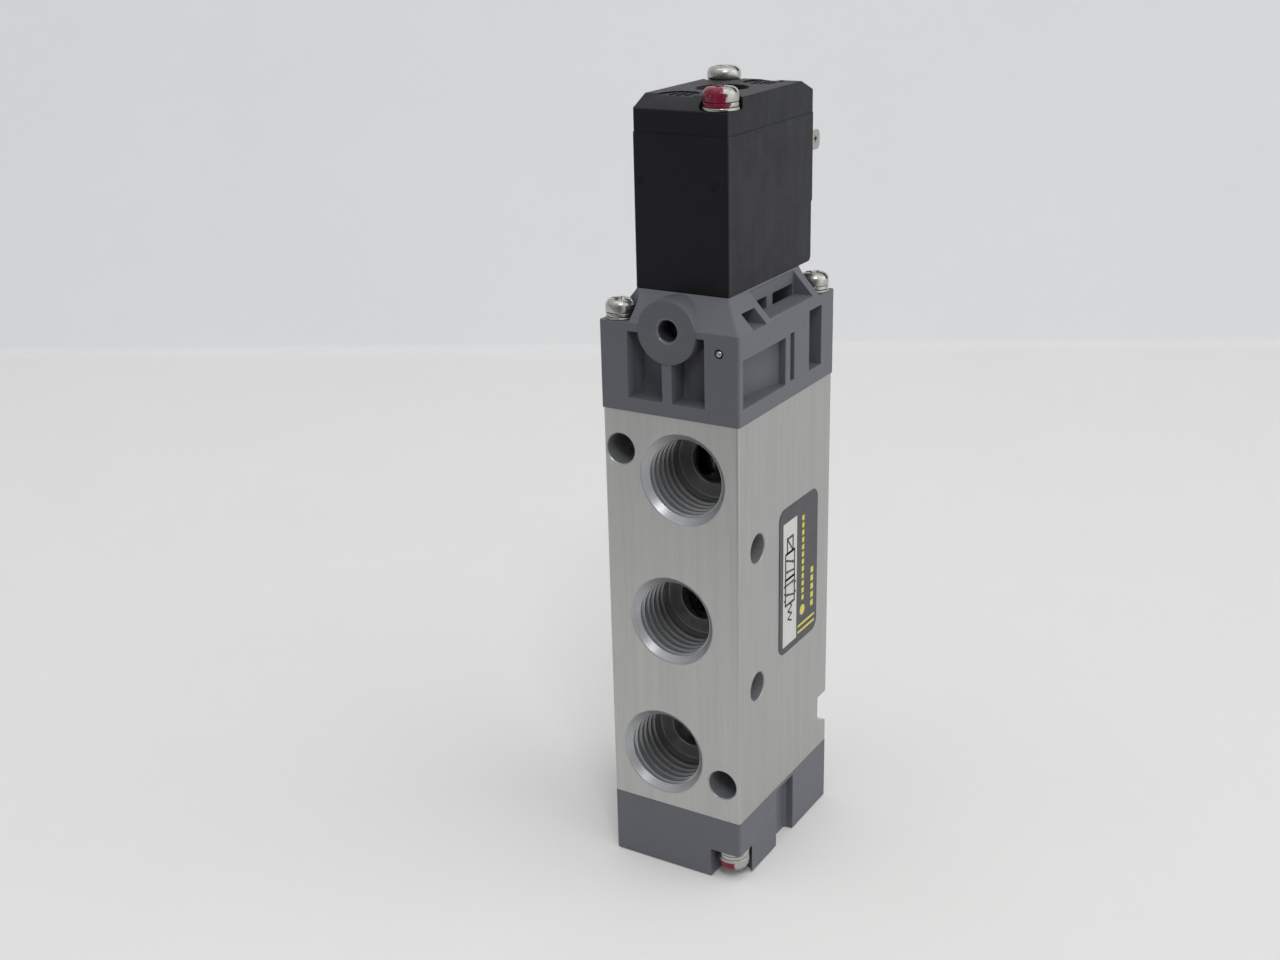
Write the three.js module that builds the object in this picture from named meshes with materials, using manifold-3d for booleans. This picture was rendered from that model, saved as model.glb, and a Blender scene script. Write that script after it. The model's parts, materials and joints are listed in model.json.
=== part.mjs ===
// Solenoid directional valve: a 5/2 monostable spool valve, 22 mm wide, with G 1/4 ports and a
// 15 mm pilot solenoid. Units are millimetres. +Z runs up the spool axis, the front face, with
// three ports, looks along -Y, and the labelled right side along +X. The origin is on the spool
// axis, at the level of the end cap's bottom face.
import * as THREE from "three";
import { mergeVertices } from "three/addons/utils/BufferGeometryUtils.js";
import Module from "manifold-3d";

const wasm = await Module();
wasm.setup();

// ---------------------------------------------------------------- driving dimensions
const HALF_W = 22.0 / 2; // body half width, X
const HALF_D = 30.2 / 2; // body half depth, Y
const Z_CAP = 10.6; // end cap / body joint
const Z_COVER = 73.56; // body / pilot cover joint
const Z_SHOULDER = 86.5; // foot of the cover's slopes, and the screw seats
const Z_COIL = 90.5; // pilot cover / coil block joint
const Z_PARTING = 112.2; // coil housing / coil cap joint
const Z_TOP = 117.0; // top of the coil cap
const TUBE_Y = 1.2; // Y of the solenoid axis
const OVER = 1; // how far cutters run past the faces they open

const SCREW_R = 1.25;
const SCREW_HOLE_R = 1.4;
const pair = (x, y, seat) => [
  { tag: "front", x, y, seat },
  { tag: "rear", x: -x, y: -y, seat },
];
const COVER_SCREWS = pair(-8.95, -12.9, Z_SHOULDER);
const CAP_SCREWS = pair(8.7, -12.7, 4.85);
const COIL_SCREWS = [
  { tag: "front", x: 5.0, y: -8.5, seat: 115.45 },
  { tag: "rear", x: -4.9, y: 10.8, seat: 115.7 },
];

// Ring grooves, and the radial clearance of the seals in them.
const COVER_GROOVE = { inner: 8.3, outer: 9.5 };
const CAP_GROOVE = { inner: 6.0, outer: 7.2, floor: 9.6 };
const GASKET_GROOVE = { inner: 2.3, outer: 4.3, floor: 89.7 };
const GROOVE_CLEARANCE = 0.1;

// ---------------------------------------------------------------- solids
// A closed geometry, as a solid with shared vertices.
function solid(geometry, matrix) {
  const bare = geometry.clone();
  bare.deleteAttribute("normal");
  bare.deleteAttribute("uv");
  if (matrix) bare.applyMatrix4(matrix);
  const merged = mergeVertices(bare, 1e-4);
  return new wasm.Manifold(
    new wasm.Mesh({
      numProp: 3,
      vertProperties: new Float32Array(merged.attributes.position.array),
      triVerts: new Uint32Array(merged.index.array),
    }),
  );
}

const cut = (body, ...tools) => tools.reduce((rest, tool) => rest.subtract(tool), body);
const join = (body, ...parts) => parts.reduce((sum, part) => sum.add(part), body);
const at = (x, y, z) => new THREE.Matrix4().makeTranslation(x, y, z);
const Y_TO_Z = new THREE.Matrix4().makeRotationX(Math.PI / 2);
const Y_TO_X = new THREE.Matrix4().makeRotationZ(-Math.PI / 2);

// A box between two corners, given in any order.
function box(x0, x1, y0, y1, z0, z1) {
  return solid(
    new THREE.BoxGeometry(Math.abs(x1 - x0), Math.abs(y1 - y0), Math.abs(z1 - z0)),
    at((x0 + x1) / 2, (y0 + y1) / 2, (z0 + z1) / 2),
  );
}

function cylinderX(r, x0, x1, y, z, segments = 14) {
  const geometry = new THREE.CylinderGeometry(r, r, x1 - x0, segments);
  return solid(geometry, at((x0 + x1) / 2, y, z).multiply(Y_TO_X));
}

// A cylinder or cone from y0 (radius r) to y1 (radius r1).
function cylinderY(r, y0, y1, x, z, segments = 20, r1 = r) {
  const geometry = new THREE.CylinderGeometry(r1, r, y1 - y0, segments);
  return solid(geometry, at(x, (y0 + y1) / 2, z));
}

function cylinderZ(r, z0, z1, x = 0, y = 0, segments = 20) {
  const geometry = new THREE.CylinderGeometry(r, r, z1 - z0, segments);
  return solid(geometry, at(x, y, (z0 + z1) / 2).multiply(Y_TO_Z));
}

// A solid of revolution about a Z axis, from (radius, z) pairs that start and end on the axis
// or close on themselves.
function lathe(points, segments = 16, x = 0, y = 0) {
  const profile = points.map(([r, z]) => new THREE.Vector2(r, z));
  return solid(new THREE.LatheGeometry(profile, segments), at(x, y, 0).multiply(Y_TO_Z));
}

// A ring with a rectangular section.
function ring(inner, outer, z0, z1, segments = 16, x = 0, y = 0) {
  const section = [
    [inner, z0],
    [outer, z0],
    [outer, z1],
    [inner, z1],
    [inner, z0],
  ];
  return lathe(section, segments, x, y);
}

function extrude(points, depth, matrix) {
  const shape = new THREE.Shape(points.map(([u, v]) => new THREE.Vector2(u, v)));
  return solid(new THREE.ExtrudeGeometry(shape, { depth, bevelEnabled: false }), matrix);
}

// A polygon of (y, z) points, extruded from x0 to x1.
function prismX(points, x0, x1) {
  const axes = new THREE.Matrix4().makeBasis(
    new THREE.Vector3(0, 1, 0),
    new THREE.Vector3(0, 0, 1),
    new THREE.Vector3(1, 0, 0),
  );
  return extrude(points, x1 - x0, at(x0, 0, 0).multiply(axes));
}

// A polygon of (x, y) points, extruded from z0 to z1.
const prismZ = (points, z0, z1) => extrude(points, z1 - z0, at(0, 0, z0));

// A rectangle with rounded corners, each with a point every stepDegrees.
function roundedRectangle(u0, u1, v0, v1, r, stepDegrees) {
  const corners = [
    [u1 - r, v1 - r],
    [u0 + r, v1 - r],
    [u0 + r, v0 + r],
    [u1 - r, v0 + r],
  ];
  return corners.flatMap(([u, v], i) => {
    const arc = [];
    for (let turn = 0; turn <= 90; turn += stepDegrees) {
      const angle = THREE.MathUtils.degToRad(i * 90 + turn);
      arc.push([u + r * Math.cos(angle), v + r * Math.sin(angle)]);
    }
    return arc;
  });
}

// A block with rounded vertical edges.
function block(x0, x1, y0, y1, z0, z1, r) {
  return prismZ(roundedRectangle(x0, x1, y0, y1, r, 45), z0, z1);
}

// A frustum centred on the Z axis, from half sizes [x, y] at z0 to smaller ones at z1.
function frustum(lower, upper, z0, z1) {
  const rectangle = ([x, y], z) => [-x, -y, z, x, -y, z, x, y, z, -x, y, z];
  const positions = [...rectangle(lower, z0), ...rectangle(upper, z1)];
  const geometry = new THREE.BufferGeometry();
  geometry.setAttribute("position", new THREE.Float32BufferAttribute(positions, 3));
  geometry.setIndex([
    0, 2, 1, 0, 3, 2, // bottom
    4, 5, 6, 4, 6, 7, // top
    0, 1, 5, 0, 5, 4, 1, 2, 6, 1, 6, 5, // front and right
    2, 3, 7, 2, 7, 6, 3, 0, 4, 3, 4, 7, // rear and left
  ]);
  return solid(geometry);
}

// A helical compression spring along +Z, its wire kept between z0 and z1.
function spring({ coilR, wireR, z0, z1, turns, stepsPerTurn, sides, y = 0 }) {
  class Helix extends THREE.Curve {
    getPoint(t, target = new THREE.Vector3()) {
      const angle = 2 * Math.PI * turns * t;
      return target.set(
        coilR * Math.cos(angle),
        y + coilR * Math.sin(angle),
        z0 + wireR + (z1 - z0 - 2 * wireR) * t,
      );
    }
  }
  const section = new THREE.Shape();
  section.moveTo(wireR, 0);
  for (let i = 1; i < sides; i++) {
    const angle = (2 * Math.PI * i) / sides;
    section.lineTo(wireR * Math.cos(angle), wireR * Math.sin(angle));
  }
  section.closePath();
  return solid(
    new THREE.ExtrudeGeometry(section, {
      steps: Math.round(turns * stepsPerTurn),
      bevelEnabled: false,
      extrudePath: new Helix(),
    }),
  );
}

// A seal with radial clearance in its groove.
function grooveSeal(groove, z0, z1, segments, y = 0) {
  const inner = groove.inner + GROOVE_CLEARANCE;
  return ring(inner, groove.outer - GROOVE_CLEARANCE, z0, z1, segments, 0, y);
}

// Cutters for a round screw seat in a corner, opened out across the nearest X side.
function cornerSeat({ x, y }, r, z0, z1) {
  const outX = Math.sign(x);
  const outY = Math.sign(y);
  return [
    cylinderZ(r, z0, z1, x, y, 16),
    box(x - outX * r, x + outX * 4, y, y + outY * 4, z0, z1),
  ];
}

const screwHole = ({ x, y }, z0, z1) => cylinderZ(SCREW_HOLE_R, z0, z1, x, y, 12);

// ---------------------------------------------------------------- finishes and groups
const FINISH = {
  aluminium: { color: 0x9a9a96, roughness: 0.45, metalness: 0.9 },
  grey_plastic: { color: 0x5c5e63, roughness: 0.55, metalness: 0 },
  black_plastic: { color: 0x1c1d20, roughness: 0.5, metalness: 0 },
  nickel: { color: 0xb9b3a6, roughness: 0.3, metalness: 1 },
  steel: { color: 0xa8a8a8, roughness: 0.35, metalness: 1 },
  rubber: { color: 0x161616, roughness: 0.8, metalness: 0 },
  brass: { color: 0xb8935a, roughness: 0.35, metalness: 1 },
  copper: { color: 0xb06a3c, roughness: 0.4, metalness: 1 },
  acetal: { color: 0xd8d4c6, roughness: 0.5, metalness: 0 },
  label: { color: 0x47484c, roughness: 0.5, metalness: 0.1 },
};

const root = new THREE.Group();
root.name = "solenoid_directional_valve";

function addGroup() {
  const group = new THREE.Group();
  root.add(group);
  return group;
}

function addPiece(name, piece, finish, group = root) {
  const { vertProperties, triVerts } = piece.getMesh();
  const geometry = new THREE.BufferGeometry();
  const positions = new Float32Array(vertProperties);
  geometry.setAttribute("position", new THREE.BufferAttribute(positions, 3));
  geometry.setIndex(new THREE.BufferAttribute(new Uint32Array(triVerts), 1));
  geometry.computeVertexNormals();
  const mesh = new THREE.Mesh(geometry, new THREE.MeshStandardMaterial(FINISH[finish]));
  mesh.name = name;
  group.add(mesh);
}

// ---------------------------------------------------------------- valve body
const SPOOL_BORE_R = 5.4;
const PORT_R = 5.95; // mean radius of the G 1/4 internal thread
const PORT_CHAMFER_R = 6.95;
const PORT_DEPTH = 9.0;
const PORT_HOLE_R = 3.4;
const PORT_HOLE_DEPTH = HALF_D - 4.0;
// x, z: exhaust, supply, exhaust
const FRONT_PORTS = [
  [1.94, 64.44],
  [-0.27, 41.97],
  [-2.2, 19.6],
];
// x, z: the two outlets
const REAR_PORTS = [
  [0.83, 53.2],
  [-1.23, 30.8],
];
// x, z of the mounting holes along Y
const MOUNT_HOLES_Y = [
  [-8.23, 67.58],
  [8.01, 16.65],
];
const MOUNT_HOLE_R = 2.3;
// y, z of the mounting holes along X
const MOUNT_HOLES_X = [
  [-9.3, 53.58],
  [-9.3, 31.35],
];
const SIDE_HOLE_R = 2.2;
// y, z: flat upper wall, sloping lower wall
const REAR_NOTCH = [
  [11.75, 15.45],
  [HALF_D + OVER, 13.6],
  [HALF_D + OVER, 19.6],
  [11.75, 19.6],
];

// Cutters for a port; side is -1 on the front face, +1 on the rear face.
function port(x, z, side) {
  const level = (depth) => side * (HALF_D - depth);
  const run = (r, depth0, depth1, r1 = r) =>
    side < 0
      ? cylinderY(r, level(depth0), level(depth1), x, z, 20, r1)
      : cylinderY(r1, level(depth1), level(depth0), x, z, 20, r);
  return [
    run(PORT_CHAMFER_R + 0.2, -0.2, 0.9, PORT_R), // countersink
    run(PORT_R, 0.8, PORT_DEPTH),
    run(PORT_HOLE_R, PORT_DEPTH - 0.1, PORT_HOLE_DEPTH),
  ];
}

function valveBody() {
  const pastX = HALF_W + OVER;
  const pastY = HALF_D + OVER;
  return cut(
    block(-HALF_W, HALF_W, -HALF_D, HALF_D, Z_CAP, Z_COVER, 0.5),
    cylinderZ(SPOOL_BORE_R, Z_CAP - OVER, Z_COVER + OVER, 0, 0, 24),
    ...FRONT_PORTS.flatMap(([x, z]) => port(x, z, -1)),
    ...REAR_PORTS.flatMap(([x, z]) => port(x, z, 1)),
    ...MOUNT_HOLES_Y.map(([x, z]) => cylinderY(MOUNT_HOLE_R, -pastY, pastY, x, z, 14)),
    ...MOUNT_HOLES_X.map(([y, z]) => cylinderX(SIDE_HOLE_R, -pastX, pastX, y, z)),
    prismX(REAR_NOTCH, -pastX, pastX),
    ...COVER_SCREWS.map((screw) => screwHole(screw, 70.3, Z_COVER + OVER)),
    ...CAP_SCREWS.map((screw) => screwHole(screw, Z_CAP - OVER, 14.1)),
  );
}
addPiece("valve_body", valveBody(), "aluminium");

// ---------------------------------------------------------------- pilot cover
const COVER_LIP = 0.12; // the cover stands proud of the body by this much
const COVER_HALF_W = HALF_W + COVER_LIP;
const COVER_HALF_D = HALF_D + COVER_LIP;
const COVER_SEAT_R = 2.65;
const SLOPE_OVERLAP = 0.02; // inset and overlap of the sloping part on the block below
const COIL_HALF_W = 7.4;
const PISTON_BORE_R = 7.9;
const PISTON_BORE_TOP = 82.2;
const NOZZLE_SEAT_Z = 88.15;
const OVERRIDE = { x: -0.05, z: 86.0 };
const BALL = { x: 7.97, z: 83.74 }; // the ball and the passage it closes

// The ribbed pockets of the front and right faces.
function coverPockets() {
  const pastX = COVER_HALF_W + OVER;
  const pastY = -COVER_HALF_D - OVER;
  // x, y outlines of the front pockets, either side of a rib
  const frontLeft = [
    [-6.7, pastY],
    [-1.05, pastY],
    [-1.05, -11.55],
    [-5.75, -11.85],
    [-6.35, -13.2],
  ];
  const frontRight = [
    [0.55, pastY],
    [5.73, pastY],
    [5.73, -10.9],
    [0.55, -11.6],
  ];
  // x, y outline of a side pocket with a slanted back wall
  const side = [
    [pastX, -13.95],
    [pastX, -0.95],
    [9.95, -0.95],
    [9.55, -1.7],
    [7.3, -13.95],
  ];
  return [
    prismZ(frontLeft, 75.6, 85.3),
    prismZ(frontRight, 75.6, 85.5),
    prismZ(side, 75.95, 82.9),
    box(9.8, pastX, 0.6, 1.85, 76.05, 83.1),
    box(8.4, pastX, 6.8, 10.9, 75.95, 85.0),
    // recesses in the side slope, the second with two windows into the hollow behind
    box(7.1, pastX, -10.9, -7.05, 86.35, 88.5),
    box(7.6, pastX, -5.4, 8.5, 86.8, 90.25),
    box(4.2, 7.61, -5.4, -0.08, 84.6, 88.4),
    box(4.2, 7.61, 1.81, 8.3, 84.6, 88.4),
  ];
}

// The seat of a cover screw, open to both outer faces, and its hole.
function coverSeat(screw) {
  const { x, y } = screw;
  const outX = Math.sign(x);
  const outY = Math.sign(y);
  const top = Z_COIL + OVER;
  return [
    ...cornerSeat(screw, COVER_SEAT_R, Z_SHOULDER, top),
    box(x, x + outX * 4, y - outY * COVER_SEAT_R, y + outY * 4, Z_SHOULDER, top),
    screwHole(screw, Z_COVER - OVER, Z_SHOULDER + OVER),
  ];
}

function pilotCover() {
  const shell = join(
    block(-COVER_HALF_W, COVER_HALF_W, -COVER_HALF_D, COVER_HALF_D, Z_COVER, Z_SHOULDER, 0.4),
    frustum(
      [COVER_HALF_W - SLOPE_OVERLAP, COVER_HALF_D - SLOPE_OVERLAP],
      [COIL_HALF_W, 11.0],
      Z_SHOULDER - SLOPE_OVERLAP,
      Z_COIL,
    ),
  );
  // the same pockets on opposite faces, half a turn about Z apart
  const pockets = coverPockets();
  const turnedPockets = pockets.map((pocket) => pocket.rotate([0, 0, 180]));
  const pocketed = cut(shell, ...COVER_SCREWS.flatMap(coverSeat), ...pockets, ...turnedPockets);

  const rearCoilScrew = COIL_SCREWS[1];
  const bossed = join(
    pocketed,
    // override boss, standing slightly proud of the front face
    cylinderY(4.6, -COVER_HALF_D - 0.13, -9.0, -0.15, 85.8, 28),
    // boss round the rear coil screw, where its hole would break out of the slope
    cylinderZ(2.1, 82.5, Z_COIL, rearCoilScrew.x, rearCoilScrew.y, 24),
  );

  const top = Z_COIL + OVER;
  const front = -COVER_HALF_D - OVER;
  const { inner, outer, floor } = GASKET_GROOVE;
  return cut(
    bossed,
    cylinderZ(PISTON_BORE_R, Z_COVER - OVER, PISTON_BORE_TOP, 0, 0, 24),
    ring(COVER_GROOVE.inner, COVER_GROOVE.outer, Z_COVER - OVER, Z_COVER + 1.0, 20),
    cylinderY(1.5, front, -3.0, OVERRIDE.x, OVERRIDE.z, 16), // override bore
    // pilot passage
    cylinderZ(0.7, PISTON_BORE_TOP - OVER, NOZZLE_SEAT_Z + OVER, 0, TUBE_Y, 10),
    cylinderZ(1.6, NOZZLE_SEAT_Z, top, 0, TUBE_Y, 12),
    ring(inner, outer, floor, top, 16, 0, TUBE_Y),
    cylinderY(0.66, front, -13.3, BALL.x, BALL.z, 12), // drilled passage
    ...COIL_SCREWS.map((screw) => screwHole(screw, 83.3, top)),
  );
}
addPiece("pilot_cover", pilotCover(), "grey_plastic");

// ---------------------------------------------------------------- end cap
const CAP_LIP = 0.02; // the end cap stands proud of the body by this much

function endCap() {
  const halfW = HALF_W + CAP_LIP;
  const halfD = HALF_D + CAP_LIP;
  const top = Z_CAP + OVER;
  return cut(
    block(-halfW, halfW, -halfD, halfD, 0, Z_CAP, 0.5),
    ...CAP_SCREWS.flatMap((screw) => [
      ...cornerSeat(screw, 2.75, -OVER, screw.seat),
      screwHole(screw, screw.seat - OVER, top),
    ]),
    // channel down the middle of each side
    ...[-1, 1].map((side) => box(side * 9.5, side * (halfW + OVER), -2.9, 2.9, -OVER, 10.0)),
    cylinderZ(4.6, 2.5, top, 0, 0, 20), // spring chamber
    ring(CAP_GROOVE.inner, CAP_GROOVE.outer, CAP_GROOVE.floor, top, 20),
  );
}
addPiece("end_cap", endCap(), "grey_plastic");

// ---------------------------------------------------------------- spool and piston
const SPOOL_R = 3.0;
const SPOOL_NECK_R = 1.9;
const SPOOL_TIP_R = 2.6;
const PISTON_R = 7.75;
// radius, z
const SPOOL_PROFILE = [
  [0, 11.0],
  [SPOOL_TIP_R, 11.0],
  [SPOOL_R, 11.4],
  [SPOOL_R, 26.9],
  [SPOOL_NECK_R, 27.7],
  [SPOOL_NECK_R, 37.9],
  [SPOOL_R, 38.7],
  [SPOOL_R, 49.3],
  [SPOOL_NECK_R, 50.1],
  [SPOOL_NECK_R, 60.4],
  [SPOOL_R, 61.2],
  [SPOOL_R, 77.3],
  [SPOOL_TIP_R, 77.7],
  [0, 77.7],
];
const PISTON_PROFILE = [
  [0, 77.8],
  [PISTON_R, 77.8],
  [PISTON_R, 78.8],
  [6.3, 78.8],
  [6.3, 80.6],
  [PISTON_R, 80.6],
  [PISTON_R, 81.6],
  [0, 81.6],
];
const PISTON_SEAL_PROFILE = [
  [6.4, 79.0],
  [7.8, 79.2],
  [7.8, 80.2],
  [6.4, 80.4],
  [6.4, 79.0],
];

const spoolGroup = addGroup();
addPiece("spool", lathe(SPOOL_PROFILE), "steel", spoolGroup);
addPiece("pilot_piston", lathe(PISTON_PROFILE, 20), "acetal", spoolGroup);
addPiece("pilot_piston_seal", lathe(PISTON_SEAL_PROFILE, 20), "rubber", spoolGroup);

// ---------------------------------------------------------------- seals, spacers and guides
const SPACER_R = 5.3; // outer radius of everything stacked in the spool bore
const SPACER_IN_R = 4.0;
const GUIDE_IN_R = 3.1;
const SEAL_LIP_R = 3.1; // tip of the seal's inner lip
const SEAL_IN_R = 3.3; // foot of the lip
const SEAL_Z = [14.2, 25.2, 36.4, 47.6, 58.8, 70.0];
const SEAL_HALF_H = 0.9;
const STACK_GAP = 0.05; // axial gap between neighbours
const aboveSeal = (i) => SEAL_Z[i] + SEAL_HALF_H + STACK_GAP;
const belowSeal = (i) => SEAL_Z[i] - SEAL_HALF_H - STACK_GAP;

function spoolSeal(z) {
  return lathe([
    [SEAL_IN_R, z - SEAL_HALF_H],
    [SPACER_R, z - SEAL_HALF_H],
    [SPACER_R, z + SEAL_HALF_H],
    [SEAL_IN_R, z + SEAL_HALF_H],
    [SEAL_LIP_R, z],
    [SEAL_IN_R, z - SEAL_HALF_H],
  ]);
}

// A spacer with four windows.
function spoolSpacer(z0, z1) {
  const middle = (z0 + z1) / 2;
  const [bottom, top] = [middle - 2.6, middle + 2.6];
  const past = SPACER_R + OVER;
  return cut(
    ring(SPACER_IN_R, SPACER_R, z0, z1, 12),
    box(-past, past, -1.7, 1.7, bottom, top),
    box(-1.7, 1.7, -past, past, bottom, top),
  );
}

SEAL_Z.forEach((z, i) => addPiece(`spool_seal_${i + 1}`, spoolSeal(z), "rubber"));
for (let i = 0; i < SEAL_Z.length - 1; i++) {
  const spacer = spoolSpacer(aboveSeal(i), belowSeal(i + 1));
  addPiece(`spool_spacer_${i + 1}`, spacer, "black_plastic");
}
const lowerGuide = ring(GUIDE_IN_R, SPACER_R, Z_CAP + STACK_GAP, belowSeal(0));
const upperGuide = ring(GUIDE_IN_R, SPACER_R, aboveSeal(5), 73.5);
addPiece("spool_guide_lower", lowerGuide, "brass");
addPiece("spool_guide_upper", upperGuide, "brass");
const coverSeal = grooveSeal(COVER_GROOVE, Z_COVER + 0.05, Z_COVER + 0.9, 20);
const capSeal = grooveSeal(CAP_GROOVE, CAP_GROOVE.floor + 0.1, Z_CAP - 0.05, 20);
addPiece("cover_seal", coverSeal, "rubber");
addPiece("cap_seal", capSeal, "rubber");

const RETURN_SPRING = {
  coilR: 2.55, wireR: 0.3, z0: 2.55, z1: 10.95, turns: 4.5, stepsPerTurn: 9, sides: 5,
};
addPiece("return_spring", spring(RETURN_SPRING), "steel");

// ---------------------------------------------------------------- manual override
// y0, radius at y0, y1, radius at y1, from the front end to the rear
const PIN_SECTIONS = [
  [-12.3, 1.2, -12.1, 1.4],
  [-12.1, 1.4, -10.7, 1.4],
  [-10.8, 0.95, -9.4, 0.95],
  [-9.5, 1.4, -7.6, 1.4],
  [-7.7, 0.9, -6.9, 0.5],
];
const OVERRIDE_SPRING = {
  coilR: 1.1, wireR: 0.16, z0: 0, z1: 4.4, turns: 4.5, stepsPerTurn: 7, sides: 4,
};

// A stepped pin with a slot across its front end.
function overridePin() {
  const { x, z } = OVERRIDE;
  const sections = PIN_SECTIONS.map(([y0, r0, y1, r1]) => cylinderY(r0, y0, y1, x, z, 20, r1));
  return cut(join(...sections), box(x - 2, x + 2, -12.6, -11.9, z - 0.25, z + 0.25));
}

// The O-ring in the pin's groove.
function overrideORing() {
  const torus = new THREE.TorusGeometry(1.22, 0.2, 6, 14);
  return solid(torus, at(OVERRIDE.x, -10.1, OVERRIDE.z).multiply(Y_TO_Z));
}

const overrideGroup = addGroup();
addPiece("override_pin", overridePin(), "black_plastic", overrideGroup);
addPiece("override_oring", overrideORing(), "rubber", overrideGroup);
// the spring's group is turned so that its +Z runs towards the front
const overrideSpringGroup = addGroup();
overrideSpringGroup.position.set(OVERRIDE.x, -3.05, OVERRIDE.z);
overrideSpringGroup.rotation.x = Math.PI / 2;
addPiece("override_spring", spring(OVERRIDE_SPRING), "steel", overrideSpringGroup);

// ---------------------------------------------------------------- ball and label
const ball = solid(new THREE.SphereGeometry(0.56, 10, 7), at(BALL.x, -14.75, BALL.z));
addPiece("ball_plug", ball, "steel");

// rounded label on the right side face
const LABEL_T = 0.12;
const labelOutline = roundedRectangle(-2.43, 10.6, 32.9, 56.6, 1.7, 30);
addPiece("label_plate", prismX(labelOutline, HALF_W, HALF_W + LABEL_T), "label");

// ---------------------------------------------------------------- fasteners
const WASHER_IN_R = SCREW_R + 0.15;
// from and to are distances out from the seat; up is the side the head is on; tip is the Z of
// the shank's end; gapAngle is in degrees.
const FIXINGS = [
  {
    prefix: "cover",
    screws: COVER_SCREWS,
    up: 1,
    flat: { from: 0.02, to: 0.32, r: 2.12 },
    lock: { from: 0.36, to: 0.92, r: 2.05, gapAngle: 40 },
    head: { from: 0.96, height: 1.8, r: 2.08 },
    tip: 70.5,
  },
  {
    prefix: "cap",
    screws: CAP_SCREWS,
    up: -1,
    flat: { from: 0.02, to: 0.42, r: 2.35 },
    lock: { from: 0.46, to: 1.1, r: 2.3, gapAngle: 200 },
    head: { from: 1.15, height: 2.7, r: 2.33 },
    tip: 13.9,
  },
  {
    prefix: "coil",
    screws: COIL_SCREWS,
    up: 1,
    flat: { from: 0.02, to: 0.42, r: 2.5 },
    lock: { from: 0.46, to: 1.1, r: 2.4, gapAngle: 70 },
    head: { from: 1.14, height: 1.93, r: 2.45 },
    tip: 83.6,
  },
];

// A pan-head screw with a slot and a short cross recess.
function panHeadScrew({ x, y, seat }, { up, head, tip }) {
  const { height, r } = head;
  const level = (distance) => seat + up * (head.from + distance);
  const profile = [
    [0, tip],
    [SCREW_R - 0.35, tip],
    [SCREW_R, tip + up * 0.4],
    [SCREW_R, level(0)],
    [r, level(0)],
    [r, level(height * 0.55)],
    [r * 0.9, level(height * 0.85)],
    [r * 0.62, level(height)],
    [0, level(height)],
  ];
  if (up < 0) profile.reverse(); // keeps the faces outward
  const floor = level(height - 0.7);
  const past = level(height + OVER);
  return cut(
    lathe(profile, 12, x, y),
    box(x - r - OVER, x + r + OVER, y - 0.28, y + 0.28, floor, past),
    box(x - 0.28, x + 0.28, y - 1.2, y + 1.2, floor, past),
  );
}

// A split lock washer: a ring with a narrow gap.
function lockWasher(x, y, z0, z1, { r, gapAngle }) {
  const gap = box(0, r + OVER, -0.15, 0.15, z0 - OVER, z1 + OVER)
    .rotate([0, 0, gapAngle])
    .translate([x, y, 0]);
  return cut(ring(WASHER_IN_R, r, z0, z1, 12, x, y), gap);
}

for (const fixing of FIXINGS) {
  const { prefix, screws, up, flat, lock } = fixing;
  for (const screw of screws) {
    const { tag, x, y, seat } = screw;
    const span = ({ from, to }) => [seat + up * from, seat + up * to].sort((a, b) => a - b);
    const flatWasher = ring(WASHER_IN_R, flat.r, ...span(flat), 12, x, y);
    addPiece(`${prefix}_flat_washer_${tag}`, flatWasher, "nickel");
    addPiece(`${prefix}_lock_washer_${tag}`, lockWasher(x, y, ...span(lock), lock), "nickel");
    addPiece(`${prefix}_screw_${tag}`, panHeadScrew(screw, fixing), "nickel");
  }
}

// ---------------------------------------------------------------- coil block
const COIL_FRONT = -11.08;
const COIL_REAR = 15.24;
const COIL_ROOM_FLOOR = 91.7;
const BLADE = {
  root: 12.9, // Y of the buried end
  taper: 22.0, // Y where the corners are cut
  tip: 22.6,
  halfWidth: 1.45,
  tipHalfWidth: 0.9,
  halfThickness: 0.25,
  holeY: 21.1,
  holeR: 0.5,
};
const POCKET_CLEARANCE = 0.1;
const POCKET_FLOOR_Y = 12.7;
const CONTACT_X = 4.7;
const CONTACT_Z = 107.2;
const EARTH_Z = 101.3;

// A blade's pocket, from half sizes in X and Z.
function bladePocket(x, z, halfX, halfZ) {
  const wideX = halfX + POCKET_CLEARANCE;
  const wideZ = halfZ + POCKET_CLEARANCE;
  const past = COIL_REAR + OVER;
  return box(x - wideX, x + wideX, POCKET_FLOOR_Y, past, z - wideZ, z + wideZ);
}

function coilHousing() {
  const { halfWidth, halfThickness } = BLADE;
  return cut(
    join(
      block(-COIL_HALF_W, COIL_HALF_W, COIL_FRONT, 14.7, Z_COIL, Z_PARTING, 0.3),
      block(-COIL_HALF_W, COIL_HALF_W, COIL_FRONT, COIL_REAR, 99.4, Z_PARTING, 0.3),
    ),
    box(-6.5, 6.5, -5.8, 8.2, COIL_ROOM_FLOOR, Z_PARTING + OVER), // room for the coil
    cylinderZ(3.3, Z_COIL - OVER, COIL_ROOM_FLOOR + OVER, 0, TUBE_Y, 16),
    ...COIL_SCREWS.map((screw) => screwHole(screw, Z_COIL - OVER, Z_PARTING + OVER)),
    bladePocket(-CONTACT_X, CONTACT_Z, halfThickness, halfWidth),
    bladePocket(CONTACT_X, CONTACT_Z, halfThickness, halfWidth),
    bladePocket(0, EARTH_Z, halfWidth, halfThickness),
  );
}

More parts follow.
